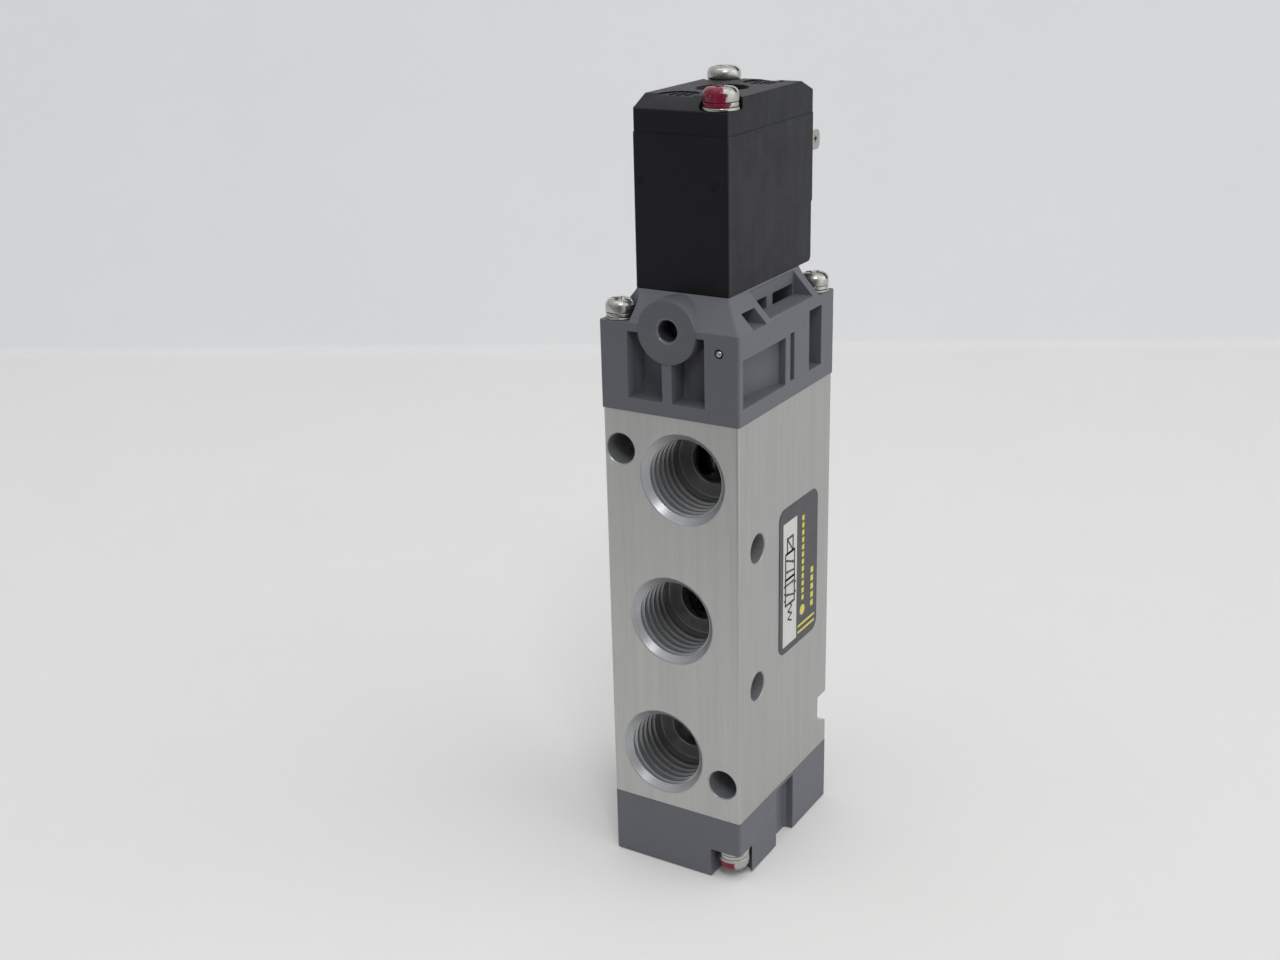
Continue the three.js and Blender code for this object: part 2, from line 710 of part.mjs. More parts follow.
// The cap, chamfered along its front and rear top edges.
function coilCap() {
  const front = COIL_FRONT + 0.1;
  const rear = COIL_REAR - 0.05;
  const halfW = COIL_HALF_W - 0.08;
  const past = Z_TOP + OVER;
  // y, z
  const profile = [
    [front, Z_PARTING],
    [rear, Z_PARTING],
    [rear, 115.4],
    [11.3, Z_TOP],
    [-7.54, Z_TOP],
    [front, 115.35],
  ];
  return cut(
    prismX(profile, -halfW, halfW),
    ...COIL_SCREWS.flatMap((screw) => [
      screwHole(screw, Z_PARTING - OVER, past),
      cylinderZ(2.9, screw.seat, past, screw.x, screw.y, 16),
    ]),
    // round recess over the core, and two shallow sinks in the top face
    cylinderZ(3.7, 116.2, past, 0, TUBE_Y, 20),
    cylinderZ(2.9, 116.8, past, -2.4, -6.9, 16),
    cylinderZ(2.9, 116.8, past, 2.4, 8.9, 16),
  );
}
addPiece("coil_housing", coilHousing(), "black_plastic");
addPiece("coil_cap", coilCap(), "black_plastic");

// A blade's outline as (y, position across the blade) points.
function bladeOutline(middle) {
  const { root: rootY, taper, tip, halfWidth, tipHalfWidth } = BLADE;
  return [
    [rootY, middle - halfWidth],
    [taper, middle - halfWidth],
    [tip, middle - tipHalfWidth],
    [tip, middle + tipHalfWidth],
    [taper, middle + halfWidth],
    [rootY, middle + halfWidth],
  ];
}

// An upright blade with a cross hole near the tip.
function contactBlade(x) {
  const { halfThickness, holeR, holeY } = BLADE;
  return cut(
    prismX(bladeOutline(CONTACT_Z), x - halfThickness, x + halfThickness),
    cylinderX(holeR, x - OVER, x + OVER, holeY, 107.3, 12),
  );
}

// The flat blade below them.
function earthBlade() {
  const { halfThickness, holeR, holeY } = BLADE;
  const outline = bladeOutline(0).map(([y, x]) => [x, y]);
  return cut(
    prismZ(outline, EARTH_Z - halfThickness, EARTH_Z + halfThickness),
    cylinderZ(holeR, EARTH_Z - OVER, EARTH_Z + OVER, 0, holeY, 12),
  );
}
addPiece("contact_blade_right", contactBlade(CONTACT_X), "nickel");
addPiece("contact_blade_left", contactBlade(-CONTACT_X), "nickel");
addPiece("earth_blade", earthBlade(), "nickel");

// ---------------------------------------------------------------- solenoid
const tubeLathe = (points) => lathe(points, 16, 0, TUBE_Y);
const tubeRing = (inner, outer, z0, z1) => ring(inner, outer, z0, z1, 16, 0, TUBE_Y);

// Two plates joined by a wall at the rear, bored for the tube.
function magnetYoke() {
  return cut(
    join(
      box(-5.5, 5.5, -4.4, 8.05, 92.2, 93.4),
      box(-5.5, 5.5, -4.4, 8.05, 110.4, 111.6),
      box(-5.5, 5.5, 6.9, 8.05, 92.3, 111.5),
    ),
    cylinderZ(3.2, 92.2 - OVER, 111.6 + OVER, 0, TUBE_Y, 16),
  );
}

// radius, z
const BOBBIN_PROFILE = [
  [3.2, 93.5],
  [5.6, 93.5],
  [5.6, 94.3],
  [3.7, 94.3],
  [3.7, 109.5],
  [5.6, 109.5],
  [5.6, 110.3],
  [3.2, 110.3],
  [3.2, 93.5],
];
const CORE_PROFILE = [
  [0, 103.0],
  [2.5, 103.0],
  [2.5, 111.3],
  [3.1, 111.3],
  [3.1, 112.0],
  [0, 112.0],
];
const NOZZLE_PROFILE = [
  [0.4, 88.2],
  [1.5, 88.2],
  [1.5, 90.4],
  [0.9, 91.3],
  [0.4, 91.3],
  [0.4, 88.2],
];
// with a hollow for the seat disc below and one for the spring above
const PLUNGER_PROFILE = [
  [0, 93.0],
  [1.7, 93.0],
  [1.7, 91.9],
  [2.45, 91.9],
  [2.45, 102.2],
  [1.4, 102.2],
  [1.4, 97.0],
  [0, 97.0],
];
const PLUNGER_SPRING = {
  coilR: 1.05, wireR: 0.18, z0: 97.05, z1: 102.95, turns: 5, stepsPerTurn: 7, sides: 4,
  y: TUBE_Y,
};

addPiece("magnet_yoke", magnetYoke(), "steel");
addPiece("bobbin", tubeLathe(BOBBIN_PROFILE), "acetal");
addPiece("coil_winding", tubeRing(3.8, 5.3, 94.4, 109.4), "copper");
addPiece("core_tube", tubeRing(2.6, 3.1, 90.6, 111.2), "steel");
addPiece("fixed_core", tubeLathe(CORE_PROFILE), "steel");
addPiece("pilot_nozzle", tubeLathe(NOZZLE_PROFILE), "brass");
const gasket = grooveSeal(GASKET_GROOVE, GASKET_GROOVE.floor + 0.05, Z_COIL - 0.05, 16, TUBE_Y);
addPiece("pilot_gasket", gasket, "rubber");

const plungerGroup = addGroup();
const seatDisc = cylinderZ(1.6, 91.35, 92.95, 0, TUBE_Y, 14);
addPiece("plunger", tubeLathe(PLUNGER_PROFILE), "steel", plungerGroup);
addPiece("plunger_seat_disc", seatDisc, "rubber", plungerGroup);
addPiece("plunger_spring", spring(PLUNGER_SPRING), "steel");

export default root;
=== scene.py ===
import bpy
import bmesh
import json
import math
import random
from mathutils import Matrix, Vector


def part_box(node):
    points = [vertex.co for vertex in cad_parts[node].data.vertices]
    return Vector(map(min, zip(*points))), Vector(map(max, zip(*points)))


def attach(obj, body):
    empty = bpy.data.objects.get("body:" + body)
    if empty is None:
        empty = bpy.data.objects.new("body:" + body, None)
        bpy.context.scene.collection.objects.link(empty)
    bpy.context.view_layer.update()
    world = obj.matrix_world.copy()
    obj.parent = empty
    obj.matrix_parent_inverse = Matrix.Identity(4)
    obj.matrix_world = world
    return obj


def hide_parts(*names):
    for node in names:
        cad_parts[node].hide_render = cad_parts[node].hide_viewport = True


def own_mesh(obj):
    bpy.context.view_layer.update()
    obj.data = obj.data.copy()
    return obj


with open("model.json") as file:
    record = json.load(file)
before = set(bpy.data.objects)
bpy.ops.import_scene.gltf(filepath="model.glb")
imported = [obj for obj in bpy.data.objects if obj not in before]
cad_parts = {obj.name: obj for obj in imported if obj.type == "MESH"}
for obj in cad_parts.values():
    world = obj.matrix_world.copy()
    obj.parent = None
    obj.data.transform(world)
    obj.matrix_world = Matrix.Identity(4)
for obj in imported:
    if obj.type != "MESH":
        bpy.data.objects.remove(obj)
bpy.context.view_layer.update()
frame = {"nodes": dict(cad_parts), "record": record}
random.seed(7)
scene = bpy.context.scene
COL = scene.collection
TAU = 2 * math.pi


def box_mm(node):
    lo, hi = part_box(node)
    return [v * 1000 for v in lo], [v * 1000 for v in hi]


B = {n: box_mm(n) for n in frame["nodes"]}
BODY_OF = {
    n: b for b, ns in frame["record"]["behaviour"]["bodies"].items() for n in ns
}

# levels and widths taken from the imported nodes, in millimetres
(BX0, BY0, Z_CAP), (BX1, BY1, Z_COVER) = B["valve_body"]
Z_COIL = B["coil_housing"][0][2]
Z_PART = B["coil_housing"][1][2]
Z_TOP = B["coil_cap"][1][2]
CX = B["pilot_cover"][1][0]
CY = B["pilot_cover"][1][1]
Z_SH = 86.5
EX = B["end_cap"][1][0]
EY = B["end_cap"][1][1]
TY = (B["plunger"][0][1] + B["plunger"][1][1]) / 2
OVX = (B["override_pin"][0][0] + B["override_pin"][1][0]) / 2
OVZ = (B["override_pin"][0][2] + B["override_pin"][1][2]) / 2


def centre(node):
    lo, hi = B[node]
    return (lo[0] + hi[0]) / 2, (lo[1] + hi[1]) / 2


OPEN = {
    o["name"]: [
        (o["box_m"][0][0] + o["box_m"][1][0]) * 500,
        (o["box_m"][0][2] + o["box_m"][1][2]) * 500,
    ]
    for o in frame["record"]["physics"]["openings"]
}
FRONT_PORTS = [OPEN["front_port_1"], OPEN["front_port_2"], OPEN["front_port_3"]]
REAR_PORTS = [OPEN["rear_port_1"], OPEN["rear_port_2"]]


# ------------------------------------------------------------------ mesh tools (millimetres)
def make(name, verts, faces):
    me = bpy.data.meshes.new(name)
    me.from_pydata([tuple(v) for v in verts], [], faces)
    bm = bmesh.new()
    bm.from_mesh(me)
    bmesh.ops.recalc_face_normals(bm, faces=bm.faces)
    if bm.calc_volume(signed=True) < 0:
        bmesh.ops.reverse_faces(bm, faces=bm.faces)
    bm.to_mesh(me)
    bm.free()
    ob = bpy.data.objects.new(name, me)
    COL.objects.link(ob)
    return ob


def fillet(points, r=0.0, n=4, closed=True):
    """A polygon of (x, y[, radius]) with its corners rounded."""
    out = []
    count = len(points)
    for i, p in enumerate(points):
        rad = p[2] if len(p) > 2 else r
        b = Vector(p[:2])
        if rad <= 0 or (not closed and i in (0, count - 1)):
            out.append((b.x, b.y))
            continue
        u = Vector(points[i - 1][:2]) - b
        v = Vector(points[(i + 1) % count][:2]) - b
        lu, lv = u.length, v.length
        u.normalize()
        v.normalize()
        ang = u.angle(v)
        if ang > math.radians(177):
            out.append((b.x, b.y))
            continue
        t = min(rad / math.tan(ang / 2), lu * 0.48, lv * 0.48)
        rad = t * math.tan(ang / 2)
        c = b + (u + v).normalized() * (rad / math.sin(ang / 2))
        s, e = b + u * t, b + v * t
        a0 = math.atan2(s.y - c.y, s.x - c.x)
        a1 = math.atan2(e.y - c.y, e.x - c.x)
        d = (a1 - a0 + math.pi) % TAU - math.pi
        for k in range(n + 1):
            a = a0 + d * k / n
            out.append((c.x + rad * math.cos(a), c.y + rad * math.sin(a)))
    return out


def arc(cx, cy, r, a0, a1, n=16):
    return [
        (
            cx + r * math.cos(math.radians(a0 + (a1 - a0) * k / n)),
            cy + r * math.sin(math.radians(a0 + (a1 - a0) * k / n)),
        )
        for k in range(n + 1)
    ]


def loft(name, sections):
    """Rings of 3-D points with the same count, closed at both ends."""
    n = len(sections[0])
    verts = [p for s in sections for p in s]
    faces = []
    for k in range(len(sections) - 1):
        a, b = k * n, (k + 1) * n
        for i in range(n):
            j = (i + 1) % n
            faces.append((a + i, a + j, b + j, b + i))
    faces.append(tuple(range(n - 1, -1, -1)))
    m = (len(sections) - 1) * n
    faces.append(tuple(range(m, m + n)))
    return make(name, verts, faces)


def prism_z(pts, z0, z1, name="t"):
    return loft(name, [[(x, y, z0) for x, y in pts], [(x, y, z1) for x, y in pts]])


def prism_x(pts, x0, x1, name="t"):
    return loft(name, [[(x0, y, z) for y, z in pts], [(x1, y, z) for y, z in pts]])


def prism_y(pts, y0, y1, name="t"):
    return loft(name, [[(x, y0, z) for x, z in pts], [(x, y1, z) for x, z in pts]])


def rect(x0, x1, y0, y1, r=0.0, n=4):
    return fillet([(x0, y0, r), (x1, y0, r), (x1, y1, r), (x0, y1, r)], n=n)


def cuboid(x0, x1, y0, y1, z0, z1, r=0.0, n=4):
    return prism_z(rect(x0, x1, y0, y1, r, n), z0, z1)


def rounded_block(name, x0, x1, y0, y1, z0, z1, r, e0=0.0, e1=0.0, n=5, k=4):
    """A block with vertical edges of radius r and rounded bottom (e0) and top (e1) edges."""
    secs = []

    def ring(inset, z):
        secs.append(
            [
                (x, y, z)
                for x, y in rect(
                    x0 + inset,
                    x1 - inset,
                    y0 + inset,
                    y1 - inset,
                    max(r - inset, 0.02),
                    n,
                )
            ]
        )

    if e0 > 0:
        for i in range(k + 1):
            a = math.pi / 2 * i / k
            ring(e0 * (1 - math.sin(a)), z0 + e0 * (1 - math.cos(a)))
    else:
        ring(0, z0)
    if e1 > 0:
        for i in range(k + 1):
            a = math.pi / 2 * i / k
            ring(e1 * (1 - math.cos(a)), z1 - e1 * (1 - math.sin(a)))
    else:
        ring(0, z1)
    return loft(name, secs)


def lathe(pts, n=64, m=None, closed=False, name="t"):
    """A solid of revolution about local Z from (radius, z) pairs; m places it."""
    verts, rings = [], []
    for r, z in pts:
        if r < 1e-6:
            rings.append([len(verts)])
            verts.append(Vector((0, 0, z)))
        else:
            rings.append(list(range(len(verts), len(verts) + n)))
            for i in range(n):
                a = TAU * i / n
                verts.append(Vector((r * math.cos(a), r * math.sin(a), z)))
    pairs = list(zip(rings, rings[1:]))
    if closed:
        pairs.append((rings[-1], rings[0]))
    faces = []
    for a, b in pairs:
        if len(a) == 1 and len(b) == 1:
            continue
        for i in range(n):
            j = (i + 1) % n
            if len(a) == 1:
                faces.append((a[0], b[j], b[i]))
            elif len(b) == 1:
                faces.append((a[i], a[j], b[0]))
            else:
                faces.append((a[i], a[j], b[j], b[i]))
    if m is not None:
        verts = [m @ v for v in verts]
    return make(name, verts, faces)


def ring_solid(r0, r1, z0, z1, n=64, m=None, e=0.08, name="t"):
    """A washer-like ring with rounded edges."""
    pts = fillet([(r0, z0, e), (r1, z0, e), (r1, z1, e), (r0, z1, e)], n=3)
    return lathe(pts, n, m, closed=True, name=name)


def cyl(r, z0, z1, m=None, n=64):
    return lathe([(0, z0), (r, z0), (r, z1), (0, z1)], n, m)


def at(x, y, z=0.0):
    return Matrix.Translation((x, y, z))


def along(origin, axis):
    """Places local +Z along axis from origin."""
    return Matrix.Translation(origin) @ Vector(axis).to_track_quat(
        "Z", "Y"
    ).to_matrix().to_4x4()


def boolean(a, op, tools):
    tools = [t for t in tools if t is not None]
    for t in tools:
        mod = a.modifiers.new("b", "BOOLEAN")
        mod.operation = op
        mod.solver = "MANIFOLD"
        mod.object = t
    dg = bpy.context.evaluated_depsgraph_get()
    dg.update()
    me = bpy.data.meshes.new_from_object(a.evaluated_get(dg))
    a.modifiers.clear()
    a.data = me
    if not len(me.polygons):
        raise RuntimeError("a boolean emptied " + a.name)
    for t in tools:
        bpy.data.objects.remove(t)
    return a


def cut(a, *tools):
    return boolean(a, "DIFFERENCE", tools)


def join(a, *tools):
    return boolean(a, "UNION", tools)


def common(a, *tools):
    return boolean(a, "INTERSECT", tools)


def soften(ob, width, angle=32, segs=2, only=None):
    """Cleans a cut solid and rounds its convex and concave edges a little."""
    bm = bmesh.new()
    bm.from_mesh(ob.data)
    bmesh.ops.remove_doubles(bm, verts=bm.verts, dist=0.004)
    bmesh.ops.dissolve_degenerate(bm, dist=0.003, edges=bm.edges)
    bmesh.ops.dissolve_limit(
        bm, angle_limit=math.radians(0.4), verts=bm.verts, edges=bm.edges
    )
    if width > 0:
        lim = math.radians(angle)
        edges = []
        for e in bm.edges:
            if len(e.link_faces) != 2:
                continue
            if e.calc_face_angle(0) < lim:
                continue
            if only and not only((e.verts[0].co + e.verts[1].co) / 2):
                continue
            edges.append(e)
        bmesh.ops.bevel(
            bm,
            geom=edges,
            offset=width,
            offset_type="OFFSET",
            segments=segs,
            profile=0.5,
            affect="EDGES",
            clamp_overlap=False,
            loop_slide=True,
            miter_inner="SHARP",
        )
    bm.to_mesh(ob.data)
    bm.free()
    return ob


def thread(r_lo, r_hi, pitch, z0, z1, n=64, shape=None, m=None):
    """A closed rod whose surface is a helical thread between two radii."""
    shape = shape or [0, 0.06, 0.5, 0.94, 1, 0.94, 0.5, 0.06]
    k = len(shape)
    turns = int(math.ceil((z1 - z0) / pitch))
    rows = turns * k
    verts = []
    for j in range(rows + k + 1):
        for i in range(n):
            z = z0 + (j - k + k * i / n) * pitch / k
            r = r_lo + (r_hi - r_lo) * shape[j % k]
            a = TAU * i / n
            verts.append(Vector((r * math.cos(a), r * math.sin(a), z)))
    # the strip closes on itself one pitch higher at the seam

    def vid(j, i):
        return (j + k) * n if i == n else j * n + i

    faces = []
    top = rows + k
    for j in range(top):
        for i in range(n):
            if i == n - 1 and j + 1 + k > top:
                continue
            a, b, c, d = vid(j, i), vid(j, i + 1), vid(j + 1, i + 1), vid(j + 1, i)
            faces.append((a, b, c, d))
    # boundary loops are found and closed with a fan to the axis
    me = bpy.data.meshes.new("thread")
    me.from_pydata([tuple(v) for v in verts], [], faces)
    bm = bmesh.new()
    bm.from_mesh(me)
    bmesh.ops.delete(
        bm, geom=[v for v in bm.verts if not v.link_faces], context="VERTS"
    )
    edges = [e for e in bm.edges if e.is_boundary]
    loops = []
    left = set(edges)
    while left:
        e = left.pop()
        loop = [e]
        grow = True
        ends = {e.verts[0], e.verts[1]}
        while grow:
            grow = False
            for v in list(ends):
                for f in v.link_edges:
                    if f in left:
                        left.remove(f)
                        loop.append(f)
                        ends.update(f.verts)
                        grow = True
        loops.append(loop)
    for loop in loops:
        zs = [v.co.z for e in loop for v in e.verts]
        c = bm.verts.new((0, 0, sum(zs) / len(zs)))
        for e in loop:
            bm.faces.new((e.verts[0], e.verts[1], c))
    bmesh.ops.recalc_face_normals(bm, faces=bm.faces)
    if bm.calc_volume(signed=True) < 0:
        bmesh.ops.reverse_faces(bm, faces=bm.faces)
    if m is not None:
        bmesh.ops.transform(bm, matrix=m, verts=bm.verts)
        if bm.calc_volume(signed=True) < 0:
            bmesh.ops.reverse_faces(bm, faces=bm.faces)
    bm.to_mesh(me)
    bm.free()
    ob = bpy.data.objects.new("thread", me)
    COL.objects.link(ob)
    return ob


def coil_spring(name, r, wire, z0, z1, turns, m=None, seg=36, sides=12):
    """A compression spring with its end coils closed."""
    steps = int(turns * seg)
    free = z1 - z0 - 2 * wire
    closed = 2.05 * wire  # rise of a closed end coil
    mid = (free - 1.6 * closed) / (turns - 1.6)

    def height(t):
        a = t * turns
        if a < 0.8:
            return closed * a
        if a > turns - 0.8:
            return free - closed * (turns - a)
        return closed * 0.8 + mid * (a - 0.8)

    verts, faces = [], []
    for s in range(steps + 1):
        t = s / steps
        a = TAU * turns * t
        c = Vector((r * math.cos(a), r * math.sin(a), z0 + wire + height(t)))
        out = Vector((math.cos(a), math.sin(a), 0))
        up = Vector((0, 0, 1))
        for i in range(sides):
            b = TAU * i / sides
            verts.append(c + out * (wire * math.cos(b)) + up * (wire * math.sin(b)))
    for s in range(steps):
        for i in range(sides):
            j = (i + 1) % sides
            a, b = s * sides, (s + 1) * sides
            faces.append((a + i, a + j, b + j, b + i))
    faces.append(tuple(range(sides)))
    faces.append(tuple(range(steps * sides, (steps + 1) * sides)))
    if m is not None:
        verts = [m @ v for v in verts]
    return make(name, verts, faces)


# ------------------------------------------------------------------ materials
class Mat:
    """A small builder for node materials; positions are the piece's own coordinates in millimetres."""

    def __init__(self, name):
        self.m = bpy.data.materials.new(name)
        self.m.use_nodes = True
        self.t = self.m.node_tree
        self.t.nodes.clear()
        self.out = self.t.nodes.new("ShaderNodeOutputMaterial")
        self.b = self.t.nodes.new("ShaderNodeBsdfPrincipled")
        self.link(self.b.outputs[0], self.out.inputs[0])
        tc = self.t.nodes.new("ShaderNodeTexCoord")
        self.obj = tc.outputs["Object"]
        sc = self.t.nodes.new("ShaderNodeVectorMath")
        sc.operation = "SCALE"
        self.link(self.obj, sc.inputs[0])
        sc.inputs["Scale"].default_value = 1000.0
        self.mm = sc.outputs[0]
        self.heights = []

    def link(self, a, b):
        self.t.links.new(a, b)

    def put(self, socket, v):
        if hasattr(v, "links") or isinstance(v, bpy.types.NodeSocket):
            self.link(v, socket)
        else:
            socket.default_value = v

    def noise(self, scale, detail=3.0, rough=0.55, lac=2.0, offset=(0, 0, 0)):
        """scale: cycles per millimetre in x, y, z."""
        v = self.t.nodes.new("ShaderNodeVectorMath")
        v.operation = "MULTIPLY_ADD"
        self.link(self.mm, v.inputs[0])
        s = scale if isinstance(scale, tuple) else (scale,) * 3
        v.inputs[1].default_value = s
        v.inputs[2].default_value = offset
        n = self.t.nodes.new("ShaderNodeTexNoise")
        n.inputs["Scale"].default_value = 1.0
        n.inputs["Detail"].default_value = detail
        n.inputs["Roughness"].default_value = rough
        n.inputs["Lacunarity"].default_value = lac
        self.link(v.outputs[0], n.inputs["Vector"])
        return n.outputs["Fac"] if "Fac" in n.outputs else n.outputs[0]

    def voronoi(self, scale, feature="F1", rand=1.0):
        v = self.t.nodes.new("ShaderNodeVectorMath")
        v.operation = "MULTIPLY"
        self.link(self.mm, v.inputs[0])
        s = scale if isinstance(scale, tuple) else (scale,) * 3
        v.inputs[1].default_value = s
        n = self.t.nodes.new("ShaderNodeTexVoronoi")
        n.feature = feature
        n.inputs["Scale"].default_value = 1.0
        n.inputs["Randomness"].default_value = rand
        self.link(v.outputs[0], n.inputs["Vector"])
        return n.outputs["Distance"]

    def math(self, op, a, b=0.0, c=0.0, clamp=False):
        n = self.t.nodes.new("ShaderNodeMath")
        n.operation = op
        n.use_clamp = clamp
        self.put(n.inputs[0], a)
        self.put(n.inputs[1], b)
        self.put(n.inputs[2], c)
        return n.outputs[0]

    def ramp(self, v, lo, hi, a=0.0, b=1.0, smooth=False):
        n = self.t.nodes.new("ShaderNodeMapRange")
        n.clamp = True
        if smooth:
            n.interpolation_type = "SMOOTHSTEP"
        self.put(n.inputs["Value"], v)
        n.inputs["From Min"].default_value = lo
        n.inputs["From Max"].default_value = hi
        self.put(n.inputs["To Min"], a)
        self.put(n.inputs["To Max"], b)
        return n.outputs["Result"]

    def mix(self, fac, a, b, kind="MIX"):
        n = self.t.nodes.new("ShaderNodeMix")
        n.data_type = "RGBA"
        n.blend_type = kind
        self.put(n.inputs[0], fac)
        self.put(n.inputs[6], (*a, 1) if isinstance(a, tuple) else a)
        self.put(n.inputs[7], (*b, 1) if isinstance(b, tuple) else b)
        return n.outputs[2]

    def xyz(self):
        n = self.t.nodes.new("ShaderNodeSeparateXYZ")
        self.link(self.mm, n.inputs[0])
        return n.outputs

    def dot(self, vec):
        n = self.t.nodes.new("ShaderNodeVectorMath")
        n.operation = "DOT_PRODUCT"
        self.link(self.mm, n.inputs[0])
        n.inputs[1].default_value = vec
        return n.outputs["Value"]

    def normal_z(self):
        g = self.t.nodes.new("ShaderNodeNewGeometry")
        n = self.t.nodes.new("ShaderNodeSeparateXYZ")
        self.link(g.outputs["True Normal"], n.inputs[0])
        return n.outputs

    def bump(self, height, mm, strength=1.0):
        """height 0..1 stands mm proud."""
        n = self.t.nodes.new("ShaderNodeBump")
        n.inputs["Strength"].default_value = strength
        n.inputs["Distance"].default_value = mm * 0.001
        self.put(n.inputs["Height"], height)
        if self.heights:
            self.link(self.heights[-1], n.inputs["Normal"])
        self.heights.append(n.outputs[0])
        return n.outputs[0]

    def done(self, color, rough, metal=0.0, spec=0.5, **more):
        self.put(
            self.b.inputs["Base Color"], (*color, 1) if isinstance(color, tuple) else color
        )
        self.put(self.b.inputs["Roughness"], rough)
        self.put(self.b.inputs["Metallic"], metal)
        self.put(self.b.inputs["Specular IOR Level"], spec)
        for k, v in more.items():
            self.put(self.b.inputs[k.replace("_", " ")], v)
        if self.heights:
            self.link(self.heights[-1], self.b.inputs["Normal"])
        return self.m


def srgb(r, g, b):
    def f(c):
        c /= 255
        return c / 12.92 if c <= 0.04045 else ((c + 0.055) / 1.055) ** 2.4

    return f(r), f(g), f(b)


def aluminium_brushed():
    k = Mat("aluminium_brushed")
    fine = k.noise((6.5, 6.5, 0.10), 4, 0.65)
    wide = k.noise((0.9, 0.9, 0.025), 3, 0.55, offset=(3, 7, 1))
    speck = k.noise(7.0, 3, 0.6)
    cloud = k.noise((0.11, 0.11, 0.04), 2, 0.5, offset=(9, 2, 4))
    streak = k.math("ADD", k.math("MULTIPLY", fine, 0.55), k.math("MULTIPLY", wide, 0.45))
    col = k.mix(k.ramp(streak, 0.33, 0.67), (0.455, 0.453, 0.438), (0.530, 0.528, 0.512))
    col = k.mix(k.ramp(cloud, 0.35, 0.7, 0.0, 0.12), col, (0.57, 0.57, 0.56))
    # faint drawing lines from the extrusion and a few rub marks
    lines = k.noise((2.3, 2.3, 0.012), 2, 0.5, offset=(31, 5, 2))
    col = k.mix(k.ramp(lines, 0.64, 0.76, 0.0, 0.16), col, (0.33, 0.328, 0.32))
    spots = k.noise(1.6, 2, 0.5, offset=(4, 4, 9))
    col = k.mix(k.ramp(spots, 0.72, 0.80, 0.0, 0.22), col, (0.35, 0.345, 0.33))
    # painted shade: the broad sides are darkened a little against the front, standing in for the light they get
    side_shade = k.ramp(k.math("ABSOLUTE", k.normal_z()[0]), 0.85, 0.97, 0.0, 0.155)
    col = k.mix(side_shade, col, (0.0, 0.0, 0.0))
    rough = k.ramp(streak, 0.3, 0.7, 0.44, 0.38)
    rough = k.math("ADD", rough, k.ramp(speck, 0.3, 0.7, -0.03, 0.04))
    k.bump(streak, 0.006, 0.35)
    k.bump(speck, 0.003, 0.30)
    return k.done(col, rough, 0.76, 0.5)


def aluminium_machined(name="aluminium_machined", metal=0.70, rough0=0.33, shade=1.0, depth_shade=0.30):
    """Bored and tapped faces: fine turning marks round the port axes, cleaner than the drawn outside."""
    k = Mat(name)
    turned = k.noise((0.35, 9.0, 0.35), 3, 0.6)
    g = k.noise(1.8, 3, 0.6, offset=(4, 1, 6))
    f = k.noise(8.0, 2, 0.5)
    lo_, hi_ = (0.365, 0.375, 0.39), (0.495, 0.505, 0.525)
    col = k.mix(k.ramp(turned, 0.3, 0.7), tuple(v * shade for v in lo_), tuple(v * shade for v in hi_))
    col = k.mix(k.ramp(g, 0.3, 0.7, 0.0, 0.25), col, tuple(v * shade for v in (0.34, 0.34, 0.325)))
    # painted shade: darker and browner towards the bottom of the holes
    y = k.math("ABSOLUTE", k.xyz()[1])
    col = k.mix(k.ramp(y, BY1 - 1.6, BY1 - 8.0, 0.0, depth_shade), col, (0.125, 0.112, 0.088))
    rough = k.ramp(f, 0.3, 0.7, rough0, rough0 + 0.07)
    k.bump(turned, 0.006, 0.5)
    return k.done(col, rough, metal, 0.5)


def plastic(name, base, light, rough0, rough1, grain=0.012, mottled=0.0, spec=0.45):
    k = Mat(name)
    vdi = k.noise(7.5, 3, 0.6)
    mid = k.noise(1.4, 3, 0.55, offset=(2, 8, 5))
    big = k.noise(0.16, 3, 0.6, offset=(7, 1, 3))
    col = k.mix(k.ramp(mid, 0.3, 0.7, 0.0, 0.4), base, light)
    col = k.mix(k.ramp(big, 0.35, 0.65, 0.0, 0.35), col, tuple(0.5 * (a + b) for a, b in zip(base, light)))
    rough = k.ramp(mid, 0.3, 0.7, rough0, rough1)
    if mottled:
        # pale flow marks, only on the two broad side faces
        nx = k.math("ABSOLUTE", k.normal_z()[0])
        on = k.ramp(nx, 0.85, 0.97)
        flow = k.noise((0.9, 0.55, 0.07), 3, 0.6, offset=(5, 5, 5))
        fog = k.noise(0.22, 3, 0.55, offset=(8, 3, 1))
        amount = k.math("ADD", k.ramp(flow, 0.40, 0.64, 0.0, mottled * 0.6), k.ramp(fog, 0.40, 0.66, 0.0, mottled * 0.6))
        col = k.mix(k.math("MULTIPLY", on, amount), col, tuple(c * 2.2 for c in light))
    # handling marks: short pale scratches and specks of dust
    scr = k.noise((0.5, 3.4, 7.0), 2, 0.5, offset=(11, 3, 8))
    scr2 = k.noise((6.0, 0.8, 1.2), 2, 0.5, offset=(1, 13, 2))
    marks = k.math("MAXIMUM", k.ramp(scr, 0.74, 0.80), k.ramp(scr2, 0.76, 0.82))
    col = k.mix(k.math("MULTIPLY", marks, 0.25), col, tuple(min(1, c * 2.2 + 0.015) for c in light))
    dust = k.voronoi(0.55)
    dmask = k.math("MULTIPLY", k.ramp(dust, 0.05, 0.015), k.ramp(k.noise(0.4, 1, 0.5), 0.54, 0.62))
    col = k.mix(k.math("MULTIPLY", dmask, 0.35), col, tuple(min(1, c * 2.0 + 0.04) for c in light))
    k.bump(vdi, grain, 0.5)
    k.bump(mid, 0.008, 0.3)
    return k.done(col, rough, 0.0, spec)


TINT = (0.51, 0.515, 0.48)


